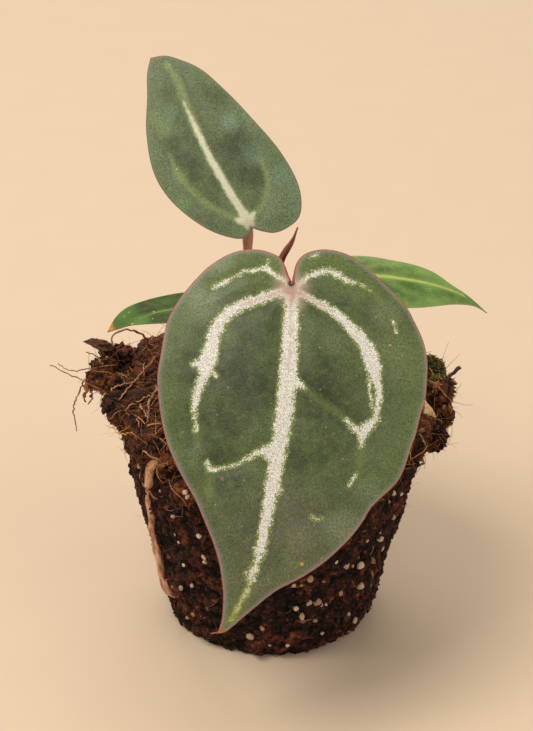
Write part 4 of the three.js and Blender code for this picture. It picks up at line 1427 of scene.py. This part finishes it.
# %% Places on the soil
chance = np.random.default_rng(7)
faces = len(soil.data.polygons)
centres = numbers_of(soil.data.polygons, "center").astype(float) / MM
outward = numbers_of(soil.data.polygons, "normal").astype(float)
areas = numbers_of(soil.data.polygons, "area", 1)
soil_tree = BVHTree.FromObject(soil, bpy.context.evaluated_depsgraph_get())
COLLAR = (36, 42)
FOOT_CLEARANCE = 1.0
STEM_CLEARANCE = 3.4
heights = centres[:, 2]
stem_gap = np.hypot(centres[:, 0] - STEM_CENTRE[0], centres[:, 1] - STEM_CENTRE[1])
on_collar = step(heights, *COLLAR)
usable = (heights > FOOT_CLEARANCE) & (stem_gap > STEM_CLEARANCE)


def relief_at(where):
    """How far the lumps pushed the soil out at places in mm: 0 in a hollow, 1 on a crest."""
    corner = [soil.data.polygons[soil_tree.find_nearest(Vector(spot) * MM)[2]].vertices[0]
              for spot in where.tolist()]
    return step(relief_of_soil[corner], *HOLLOW_AT)


def spots_on_soil(count, weight):
    """Random places on the soil, with the direction out of it there."""
    odds = areas * weight * usable
    picked = chance.choice(faces, count, p=odds / odds.sum())
    return centres[picked], outward[picked]


def turned_frames(normals, lean=0.0):
    """For each place three axes: along the surface at a random turn, across, and out of it."""
    loose = chance.normal(size=normals.shape)
    out = normals + lean * loose
    out /= np.linalg.norm(out, axis=1)[:, None]
    along = np.cross(out, chance.normal(size=normals.shape))
    along /= np.linalg.norm(along, axis=1)[:, None]
    return np.stack([along, np.cross(out, along), out], axis=2)


def copies(name, models, places, frames, sizes, painted_shade=1.0):
    """One mesh with a copy of a model at each place, in mm, and a random shade for each copy,
    scaled by a factor that may paint shade onto some copies.
    """
    which = chance.integers(len(models), size=len(places))
    shade = chance.random(len(places)) * painted_shade * np.ones(len(places))
    points, polygons, shades, start = [], [], [], 0
    for number, (corners, sides) in enumerate(models):
        mine = np.flatnonzero(which == number)
        scaled = corners[None] * sizes[mine][:, None]
        moved = np.einsum("nij,nkj->nki", frames[mine], scaled) + places[mine][:, None]
        points.append(moved.reshape(-1, 3))
        first = start + np.arange(len(mine)) * len(corners)
        for side in sides:
            polygons.extend((first[:, None] + np.array(side)).tolist())
        shades.append(np.repeat(shade[mine], len(corners)))
        start += len(mine) * len(corners)
    mesh = bpy.data.meshes.new(name)
    mesh.from_pydata((np.vstack(points) * MM).tolist(), [], polygons)
    piece = linked(name, mesh)
    keep_values(piece, "shade", np.concatenate(shades))
    return piece


def taken_apart(piece):
    """The corners (in mm) and faces of a modelled piece, which is then deleted."""
    corners = np.array([v.co for v in piece.data.vertices]) / MM
    sides = [tuple(p.vertices) for p in piece.data.polygons]
    bpy.data.objects.remove(piece)
    return corners, sides


# %% [markdown]
# A crumb starts as an icosphere of 80 or 20 faces. Its points are pushed about at random, and
# it is flattened, which gives a broken lump. Perlite is glass that was puffed up by heat: it is
# rounder, off-white and pitted.

# %% Crumb and perlite models


def lump_model(seed, subdivisions, rough, flat):
    bpy.ops.object.select_all(action="DESELECT")
    bpy.ops.mesh.primitive_ico_sphere_add(subdivisions=subdivisions, radius=MM)
    piece = bpy.context.object
    luck = random.Random(seed)
    for vertex in piece.data.vertices:
        vertex.co *= 1 + rough * (luck.random() - 0.5) * 2
        vertex.co.x *= 1.15
        vertex.co.z *= flat
    return taken_apart(piece)


crumb_models = [lump_model(seed, subdivisions=1, rough=0.45, flat=0.7) for seed in range(8)]
round_models = [lump_model(20 + seed, subdivisions=2, rough=0.22, flat=0.85)
                for seed in range(5)]

# %% Crumbs on the soil
CRUMBS = 9800
where, facing = spots_on_soil(CRUMBS, 0.75 + 0.6 * on_collar)
sizes = (0.15 + 0.46 * chance.random(CRUMBS) ** 3.4)[:, None]
sizes = sizes * (0.45 + 1.1 * chance.random((CRUMBS, 3)))
sizes *= 1 + 0.2 * step(where[:, 2], *COLLAR)[:, None]
sunk = where - facing * 0.15 * sizes[:, :1]
# Crumbs in the soil's hollows get darker shades than those on its crests: painted shade
crumbs = copies("soil_crumbs", crumb_models, sunk, turned_frames(facing, 0.5), sizes,
                painted_shade=0.25 + 0.75 * relief_at(where))

# Broken bark and coir dust: matt, each crumb from nearly black to tan
crumb_skin, tree, shader = new_material("bark_and_coir_crumbs")
shade = add(tree, "Attribute", out="Fac", attribute_name="shade")
place = add(tree, "TexCoord", out="Object")
dust = add(tree, "TexNoise", {"Vector": place, "Scale": per_metre(0.6), "Detail": 5})
colour = add(tree, "ValToRGB", {"Fac": shade}, stops=[
    (0, "150a07"), (0.3, "31170e"), (0.6, "4e2817"), (0.85, "6c3a22"), (1, "9a6038"),
])
uneven = add(tree, "MapRange", {
    "Value": dust, "From Min": 0.35, "From Max": 0.65, "To Min": 0.55, "To Max": 1.35,
})
colour = add(tree, "Mix", {
    0: 1.0, 6: colour, 7: uneven,
}, out=2, data_type="RGBA", blend_type="MULTIPLY")
# More tan towards the top: partly dry coir and partly painted light from above
colour = dry_lit_top_and_damp(tree, place, colour, "96582b", 0.12, 0.42)
relief = add(tree, "Bump", {"Height": dust, "Strength": 0.8, "Distance": 0.3 * MM})
plug(tree, shader, {"Base Color": colour, "Normal": relief, "Roughness": 0.88})
settle(crumbs, crumb_skin, "soil")

# %% [markdown]
# Coir is the fibre of coconut husk: thin, springy and tan, each strand a few millimetres long
# and a tenth of a millimetre thick. Here they are drawn a little thicker than that, so that
# they show. A strand is a bent tube with three sides. Both of its ends go into the soil, or one
# does and the other stands free.

# %% Coir fibres
# The strand's radius as a share of its length
STRAND = 0.0125
FIBRES = 3600


def strand_model(seed, arched):
    """A thin tube along a bent line of unit length, with its feet just below the surface."""
    luck = random.Random(seed)
    run = np.linspace(0, 1, 8)
    kink = [luck.uniform(-1, 1) for _ in range(4)]
    sideways = 0.10 * kink[0] * np.sin(run * math.pi) + 0.07 * kink[1] * np.sin(run * 2 * math.pi)
    if arched:
        lift = (0.10 + 0.09 * abs(kink[2])) * np.sin(run * math.pi) - 0.03
    else:
        lift = (0.35 + 0.3 * abs(kink[2])) * run**1.3 - 0.03 - 0.12 * abs(kink[3]) * run**3
    line = np.column_stack([run - 0.5 if arched else run * 0.85, sideways, lift])
    thin = 0.5 + 0.5 * np.sin(run * math.pi) if arched else 1 - 0.6 * run
    points, sides = [], []
    for spot, size in zip(line, thin):
        for turn in (0.5, 2.6, 4.7):
            points.append(spot + STRAND * size * np.array([0, math.cos(turn), math.sin(turn)]))
    for ring in range(len(line) - 1):
        for i in range(3):
            a, b = ring * 3 + i, ring * 3 + (i + 1) % 3
            sides.append((a, b, b + 3, a + 3))
    last = len(points) - 3
    sides += [(2, 1, 0), (last, last + 1, last + 2)]
    return np.array(points), sides


strands = [strand_model(seed, seed % 3 != 2) for seed in range(12)]
where, facing = spots_on_soil(FIBRES, 0.25 + 2.2 * on_collar)
sizes = np.repeat((1.6 + 4.6 * chance.random(FIBRES) ** 2)[:, None], 3, axis=1)
sizes *= np.where(where[:, 2:] > 38, 1.0, 0.6)
sizes[:, 2] *= 0.75
fibres = copies("coir_fibres", strands, where, turned_frames(facing, 0.1), sizes)

# Dry coconut fibre: dull, each strand from dark brown to straw
coir, tree, shader = new_material("coconut_coir")
shade = add(tree, "Attribute", out="Fac", attribute_name="shade")
colour = add(tree, "ValToRGB", {"Fac": shade}, stops=[
    (0, "46230f"), (0.3, "84481e"), (0.55, "b06a2e"), (0.8, "cb8a44"), (1, "e2b06a"),
])
place = add(tree, "TexCoord", out="Object")
uneven = add(tree, "TexNoise", {"Vector": place, "Scale": per_metre(0.8), "Detail": 2})
uneven = add(tree, "MapRange", {
    "Value": uneven, "From Min": 0.3, "From Max": 0.7, "To Min": 0.6, "To Max": 1.2,
})
colour = add(tree, "Mix", {
    0: 1.0, 6: colour, 7: uneven,
}, out=2, data_type="RGBA", blend_type="MULTIPLY")
plug(tree, shader, {"Base Color": colour, "Roughness": 0.7})
settle(fibres, coir, "soil")

# %% [markdown]
# The larger perlite grains that the photograph shows are placed one by one. The camera's line of
# sight through the pixel of each is followed to the soil. More are strewn over the sides that
# the camera doesn't see, at about the same number for each patch of soil.

# %% Perlite grains


def seen_on_soil(pixel, proud):
    """The place on the soil under a pixel, in mm, lifted a little towards the outside."""
    hit, normal, _, _ = soil_tree.ray_cast(CAMERA_PLACE, line_of_sight(pixel))
    if hit is None:
        print("no soil under", pixel)
        return None
    return tuple(np.array(hit + normal * proud * MM) / MM)


# Pixel across, pixel down, size in pixels
SEEN_GRAINS = [
    (393, 493, 2.7), (389, 501, 1.9), (393, 517, 3.0), (401, 494, 1.8), (336, 562, 2.0),
    (346, 565, 3.3), (360, 565, 4.2), (360, 586, 4.4), (340, 593, 3.2), (310, 578, 4.4),
    (294, 585, 2.0), (301, 585, 1.8), (309, 602, 3.5), (317, 602, 3.9), (296, 608, 3.0),
    (302, 616, 3.5), (315, 620, 2.8), (348, 614, 2.4), (262, 628, 2.4), (250, 636, 4.4),
    (235, 649, 3.0), (185, 492, 2.6), (187, 497, 2.6), (173, 516, 2.6), (199, 536, 2.8),
    (204, 557, 3.0), (206, 562, 2.4), (181, 587, 3.0), (192, 585, 2.0), (184, 565, 1.8),
    (179, 542, 1.8), (139, 466, 2.2), (326, 604, 1.6), (352, 566, 2.0), (367, 541, 1.6),
    (380, 532, 1.6), (322, 633, 2.0), (288, 645, 2.2), (270, 645, 1.8),
]
PIXEL = 0.168
STREWN_GRAINS = 260
grain_spots = [seen_on_soil((x, y), 0.1) for x, y, _ in SEEN_GRAINS]
grain_sizes = [PIXEL * size for (_, _, size), spot in zip(SEEN_GRAINS, grain_spots) if spot]
places = np.array([spot for spot in grain_spots if spot])
normals = places * (1, 1, 0)
normals /= np.linalg.norm(normals, axis=1)[:, None]
where, facing = spots_on_soil(STREWN_GRAINS, 1 - on_collar)
towards = np.array(CAMERA_PLACE) / MM - where
hidden = (facing * towards).sum(axis=1) / np.linalg.norm(towards, axis=1) < -0.1
places = np.vstack([places, where[hidden]])
normals = np.vstack([normals, facing[hidden]])
strewn_sizes = 0.2 + 0.55 * chance.random(hidden.sum()) ** 1.5
sizes = np.concatenate([grain_sizes, strewn_sizes])[:, None]
sizes = sizes * (0.8 + 0.4 * chance.random((len(places), 3)))
print("perlite grains:", len(places))
grains = copies("perlite_grains", round_models, places, turned_frames(normals, 0.3), sizes)
select_only(grains)
bpy.ops.object.shade_smooth()

# Expanded volcanic glass: chalky, off-white and pitted, with soil in its hollows
puffed, tree, shader = new_material("perlite")
shade = add(tree, "Attribute", out="Fac", attribute_name="shade")
place = add(tree, "TexCoord", out="Object")
pits = add(tree, "TexVoronoi", {"Vector": place, "Scale": per_metre(0.35)})
white = add(tree, "ValToRGB", {"Fac": shade}, stops=[(0, "a07c62"), (1, "d8c4ae")])
soiled = add(tree, "TexNoise", {"Vector": place, "Scale": per_metre(1.0), "Detail": 3})
soiled = add(tree, "MapRange", {
    "Value": soiled, "From Min": 0.55, "From Max": 0.72, "To Max": 0.7,
})
colour = add(tree, "Mix", {0: soiled, 6: white, 7: "6d4630"}, out=2, data_type="RGBA")
relief = add(tree, "Bump", {"Height": pits, "Strength": 0.7, "Distance": 0.15 * MM})
plug(tree, shader, {"Base Color": colour, "Normal": relief, "Roughness": 0.8})
settle(grains, puffed, "soil")

# %% [markdown]
# ## Roots
#
# One thick root runs down the left flank in a groove. It is pale tan with a papery outer layer
# that is brown in places, and its thickness varies like a string of soft swellings. Fine roots
# and single long fibres wind over the collar, and some hang free. Each is a thin tube that
# follows the same route as in the CAD model, where it has one.

# %% Root material
ROOT_TONES = {
    "thick": ("85583f", "bd8a6a", "e0b698"),
    "fine": ("5a3c2a", "8a6448", "b8946e"),
}
root_skins = {}
for name, tones in ROOT_TONES.items():
    root_skins[name] = uneven_skin(
        f"{name}_root_skin", size=1, detail=6,
        stops=list(zip((0.34, 0.5, 0.66), tones)),
        sockets={"Roughness": 0.65},
        stretch=(2, 2, 0.5), limb=True, bump=(0.6, 0.25),
    )

# %% Thick root
THICK_ROOT = [
    (155, 463), (151, 471), (149.5, 482), (149, 499), (150.5, 515), (153.5, 530), (157.5, 545),
    (161.5, 560), (164.0, 575), (168.0, 588),
]
line = [seen_on_soil(pixel, 0.35) for pixel in THICK_ROOT]
line = [np.array(spot) for spot in line if spot]
ends = [line[0] * (0.92, 0.92, 1) + (0, 0, 1.5), line[-1] * (0.9, 0.9, 1) - (0, 0, 2.2)]
line = [ends[0], *line, ends[1]]


def root_radius(share, turn):
    knots = 0.12 * np.sin(9 * share) + 0.08 * np.sin(41 * share) * np.cos(turn)
    knots = knots + 0.35 * swelling(share, 0.70, 0.03) - 0.2 * swelling(share, 0.36, 0.04)
    ripples = 0.05 * np.sin(turn * 3 + share * 30) + 0.03 * np.sin(turn * 5 - share * 90)
    return 0.72 * (1.1 - 0.2 * share + knots + ripples)


piece = tube("thick_root", line, root_radius, sides=20, steps=140)
settle(piece, root_skins["thick"], "root", "side_root")

# %% Fine roots and long fibres
# The root ball's cone: its radius at the foot and at the top, and the height of the top, in mm
FOOT_RADIUS, TOP_RADIUS, TOP_HEIGHT = 19.2, 29.2, 46.5


def at_depth(pixel, depth):
    """Where the line of sight through a pixel crosses the upright plane y = depth, in mm."""
    ray = line_of_sight(pixel)
    return np.array(CAMERA_PLACE + ray * ((depth * MM - CAMERA_PLACE.y) / ray.y)) / MM


def on_flank(spot):
    """A place on the root ball from its degrees round, its height and how proud it stands."""
    degrees, height, proud = spot
    share = min(max(height / TOP_HEIGHT, 0), 1)
    radius = FOOT_RADIUS + (TOP_RADIUS - FOOT_RADIUS) * share + proud
    angle = math.radians(degrees)
    return (radius * math.cos(angle), radius * math.sin(angle), height)


# Each root: its spots (degrees, height, how proud) and its radius in mm
ON_THE_CAD_ROUTES = [
    ([(-140, 46, -2), (-148, 48.6, -3), (-163, 49, -7), (-172, 46, -9)], 0.28),
    ([(-146, 44, -1), (-138, 45, 1.8), (-128, 44, 1.8), (-122, 41, -1)], 0.2),
    ([(-152, 39, -1), (-148, 35, 0.8), (-139, 33, 0.8), (-134, 35, -1)], 0.2),
    ([(-170, 46, 0), (-174, 48.5, 5.6), (-176, 51, 11.5)], 0.16),
    ([(150, 46, -3), (160, 52, -1.5), (166, 52.5, 1.5), (170, 47, 1)], 0.25),
    ([(-34, 45, -1), (-30, 41, 2.4), (-27, 37, -1)], 0.25),
    ([(60, 45, -1), (66, 42, 2.6), (74, 36, -1)], 0.25),
    ([(118, 45, -1), (110, 41, 2.6), (104, 35, -1)], 0.25),
    ([(30, 26, -1), (36, 22, 0.6), (40, 15, 0.6), (38, 9, -1)], 0.4),
    ([(84, 30, -1), (80, 24, 0.6), (84, 16, 0.6), (90, 11, -1)], 0.4),
    ([(128, 22, -1), (124, 15, 0.6), (130, 8, -1)], 0.4),
    ([(-80, 12, -1), (-72, 10, 0.6), (-64, 12, -1)], 0.3),
]
# Roots that hang free at the left: pixels and depth in mm. The first pixel lies inside the soil.
HANGING = [
    ([(96, 376), (86, 380), (81, 388), (76, 400), (73.5, 414), (76, 424), (77, 431)], -1.0, 0.17),
    ([(98, 374), (91, 380), (87, 389), (84, 397), (86, 402)], -1.5, 0.28),
    ([(100, 378), (95, 384), (91, 390), (92, 399), (88, 404)], -0.5, 0.2),
    ([(97, 372), (86, 369), (76, 371), (66, 369), (58, 363)], -1.0, 0.13),
    ([(104, 366), (96, 356), (86, 352)], -2.0, 0.15),
]


def joined(name, pieces):
    """Several finished pieces made one."""
    select_only(pieces[0])
    for piece in pieces[1:]:
        piece.select_set(True)
    bpy.ops.object.join()
    pieces[0].name = pieces[0].data.name = name
    return pieces[0]


def wiry(route, radius, seed, sides=8):
    """A thin root or fibre along a route in mm, with small bends of its own."""
    luck = random.Random(seed)
    line = smooth_route(route, 6 + 4 * len(route))
    bends = np.array([[luck.uniform(-1, 1) for _ in range(3)] for _ in line])
    line[1:-1] += bends[1:-1] * radius * 0.9

    def taper(share, turn):
        return radius * (1 - 0.45 * share + 0.08 * np.sin(share * 37 + seed))

    return tube("strand", line, taper, sides=sides, steps=3 * len(line))


fine_roots = [wiry([on_flank(spot) for spot in route], radius, seed)
              for seed, (route, radius) in enumerate(ON_THE_CAD_ROUTES)]
fine_roots += [wiry([at_depth(pixel, depth) for pixel in pixels], radius, seed + 70)
               for seed, (pixels, depth, radius) in enumerate(HANGING)]
settle(joined("fine_roots", fine_roots), root_skins["fine"], "root")

# %% [markdown]
# Some fibres are single, clear lines in the photograph. The camera's own line of sight through
# their pixels is followed to the soil, so they lie on it and are where the photograph has them.

# %% Fibres placed by sight
SEEN_FIBRES = [
    [(120, 400), (130, 389), (140, 377), (154, 360)],
    [(105, 337), (104, 346), (106, 358)],
    [(121, 431), (131, 432), (139, 428), (139, 420)],
    [(148, 427), (160, 425)],
    [(142, 405), (144, 414), (147, 422)],
    [(418, 434), (423, 440), (428, 447)],
    [(112, 392), (121, 386), (131, 384)],
    [(128, 410), (136, 402), (150, 399)],
]
seen_fibres = []
for seed, pixels in enumerate(SEEN_FIBRES):
    pixels = [pixel for pixel in pixels if seen_on_soil(pixel, 0)]
    route = [seen_on_soil(pixel, 0.5) for pixel in pixels]
    ends = [seen_on_soil(pixels[0], -0.8), seen_on_soil(pixels[-1], -0.8)]
    seen_fibres.append(wiry([ends[0], *route, ends[1]], 0.17, seed + 40, sides=6))
straw = joined("straw_fibres", seen_fibres)

# A dry fibre: straw-brown, in tones that change along its length
straw_skin = uneven_skin(
    "straw_fibre", size=0.8333, detail=3,
    stops=[(0.35, "8a5530"), (0.65, "c9925c")],
    sockets={"Roughness": 0.6},
    limb=True,
)
settle(straw, straw_skin, "root")

# %% [markdown]
# ## Bark
#
# Two pieces of bark lie at the rim: a dark wedge on the left and a pale, freshly broken flake
# on the right. Each is a slab between two outlines, whose corners lie on the camera's lines of
# sight at the depth of the CAD chip. Voxel remesh gives it even faces, and two sizes of noise
# break them up.

# %% Bark pieces
BARK_TONES = {"dark_bark": ("2a180f", "7d5535"), "pale_bark": ("dcb27c", "f6dfb2")}
BARK_VOXEL = 0.16
barks = {}
for name, (dark_tone, light_tone) in BARK_TONES.items():
    barks[name] = uneven_skin(
        name, size=0.8, detail=5,
        stops=[(0.38, dark_tone), (0.64, light_tone)],
        sockets={"Roughness": 0.85},
        stretch=(0.6, 0.8, 1.8), bump=(0.8, 0.3),
    )

# Outline as (pixel across, pixel down, depth of its front in mm, depth of its back in mm)
BARKS = {
    "left": ("bark_wedge", "dark_bark", [
        (82.5, 341.5, 4.0, 5.2), (92, 338.5, 3.0, 6.2), (103, 340, 2.4, 6.8),
        (111, 343.5, 2.2, 7.0), (112, 351, 2.4, 6.8), (103, 351.5, 2.6, 6.4),
        (93, 346.5, 3.2, 5.8),
    ]),
    "right": ("bark_flake", "pale_bark", [
        (423.5, 400.5, -9.0, -7.2), (426, 401.5, -9.2, -7.0), (431.5, 408.5, -8.6, -6.2),
        (436.5, 416.5, -7.6, -5.4), (434, 418, -7.8, -5.4), (423.5, 418, -9.4, -6.6),
    ]),
}
for side, (name, skin, outline) in BARKS.items():
    front = [at_depth((x, y), near) for x, y, near, _ in outline]
    back = [at_depth((x, y), far) for x, y, _, far in outline]
    count = len(outline)
    sides = [tuple(range(count)), tuple(range(2 * count - 1, count - 1, -1))]
    sides += [(i, i + count, (i + 1) % count + count, (i + 1) % count) for i in range(count)]
    mesh = bpy.data.meshes.new(name)
    mesh.from_pydata((np.array(front + back) * MM).tolist(), [], sides)
    piece = linked(name, mesh)
    weld(piece, cap=True)
    apply(piece, "REMESH", mode="VOXEL", voxel_size=BARK_VOXEL * MM)
    for label, size, strength in (("slabs", 1.6, 0.5), ("chips", 0.5, 0.25)):
        roughened(piece, f"{name}_{label}", "CLOUDS", size, strength)
    bpy.ops.object.shade_smooth_by_angle(angle=math.radians(35))
    settle(piece, barks[skin], "bark", f"bark_chip_{side}")

# %% [markdown]
# ## Moss
#
# A little moss grows on the right rim: short green shoots in a dense tuft. One shoot is a thin
# four-sided spike with few faces, because well over a thousand of them stand on the soil there.

# %% Moss tuft
MOSS_PLACE = np.array(seen_on_soil((435, 371), 0) or (24.5, 2.0, 50.0))
MOSS_REACH = 2.6
MOSS_SHOOTS = 1700
shoot = np.array([(0.12, 0, -0.1), (0, 0.12, -0.1), (-0.12, 0, -0.1), (0, -0.12, -0.1),
                  (0.10, 0.05, 0.5), (-0.05, 0.10, 0.5), (-0.10, -0.05, 0.5), (0.05, -0.10, 0.5),
                  (0.06, 0.02, 1.0)])
shoot_sides = [(0, 1, 5, 4), (1, 2, 6, 5), (2, 3, 7, 6), (3, 0, 4, 7), (4, 5, 8), (5, 6, 8),
               (6, 7, 8), (7, 4, 8), (3, 2, 1, 0)]
closeness = np.exp(-(np.linalg.norm(centres - MOSS_PLACE, axis=1) / MOSS_REACH) ** 2)
where, facing = spots_on_soil(MOSS_SHOOTS, closeness)
sizes = (0.5 + 0.6 * chance.random(MOSS_SHOOTS))[:, None] * np.array([[1.5, 1.5, 1.0]])
moss = copies("moss_tuft", [(shoot, shoot_sides)], where, turned_frames(facing, 0.6), sizes)

# Damp moss: dull olive, with browner old shoots
moss_skin, tree, shader = new_material("moss")
shade = add(tree, "Attribute", out="Fac", attribute_name="shade")
place = add(tree, "TexCoord", out="Object")
patch = add(tree, "TexNoise", {"Vector": place, "Scale": per_metre(1.4), "Detail": 3})
mixed = add(tree, "Math", {0: shade, 1: patch}, operation="MULTIPLY")
green = add(tree, "ValToRGB", {"Fac": mixed}, stops=[(0, "241c0e"), (0.5, "6c6a2c")])
plug(tree, shader, {"Base Color": green, "Roughness": 0.8})
settle(moss, moss_skin, "soil")

# %% [markdown]
# Beside the moss a short dark twig stands out of the rim, and small bits of orange-brown husk
# lie under it. The twig is a tube, and the bits are a few flattened lumps, placed by sight.

# %% Twig and husk bits
# Rotten wood: nearly black and rough, with a little grey
twig_skin = uneven_skin(
    "rotten_twig", size=0.7, detail=4,
    stops=[(0, "17181c"), (1, "4a4038")],
    sockets={"Roughness": 0.6},
    bump=(0.7, 0.2),
)
TWIG_DEPTH = -1.0
twig_line = [at_depth(pixel, TWIG_DEPTH) for pixel in
             ((441, 382), (447, 377.5), (451, 375), (455.5, 371), (460, 367))]


def twig_radius(share, turn):
    return 0.33 + 0.06 * np.sin(share * 17 + turn) + 0.05 * swelling(share, 0.9, 0.12)


piece = tube("dark_twig", twig_line, twig_radius, sides=12, steps=40)
settle(piece, twig_skin, "root")

# Broken coconut husk: matt orange-brown
husk_skin = uneven_skin(
    "orange_husk", size=0.8, detail=4,
    stops=[(0, "4f2c14"), (1, "a8743c")],
    sockets={"Roughness": 0.85},
)
# Pixel across, pixel down, size in mm
HUSK_BITS = [(431, 378, 0.8), (435, 385, 0.9), (434, 391, 0.6), (450, 410, 0.9), (444, 408, 0.8),
             (129, 374, 0.7), (422, 431, 0.8), (372, 572, 0.9), (371, 584, 0.7), (372, 560, 0.8)]
spots = [(seen_on_soil((x, y), 0.0), size) for x, y, size in HUSK_BITS]
spots = [(spot, size) for spot, size in spots if spot]
# Bits held by the roots that hang at the left: pixel, size in mm, depth in mm
HUNG_BITS = [(92, 379, 1.3, -2.0), (88, 384, 1.1, -1.6), (86.5, 389, 0.9, -1.4),
             (84.5, 395, 0.6, -1.4), (92, 388, 0.7, -0.6), (91.5, 396, 0.5, -0.5)]
spots += [(tuple(at_depth((x, y), depth)), size) for x, y, size, depth in HUNG_BITS]
places = np.array([spot for spot, _ in spots])
sizes = np.array([[size, 0.7 * size, 0.6 * size] for _, size in spots])
out = places * (1, 1, 0) / np.linalg.norm(places[:, :2], axis=1)[:, None]
husks = copies("husk_bits", crumb_models, places, turned_frames(out, 0.3), sizes)
settle(husks, husk_skin, "soil")
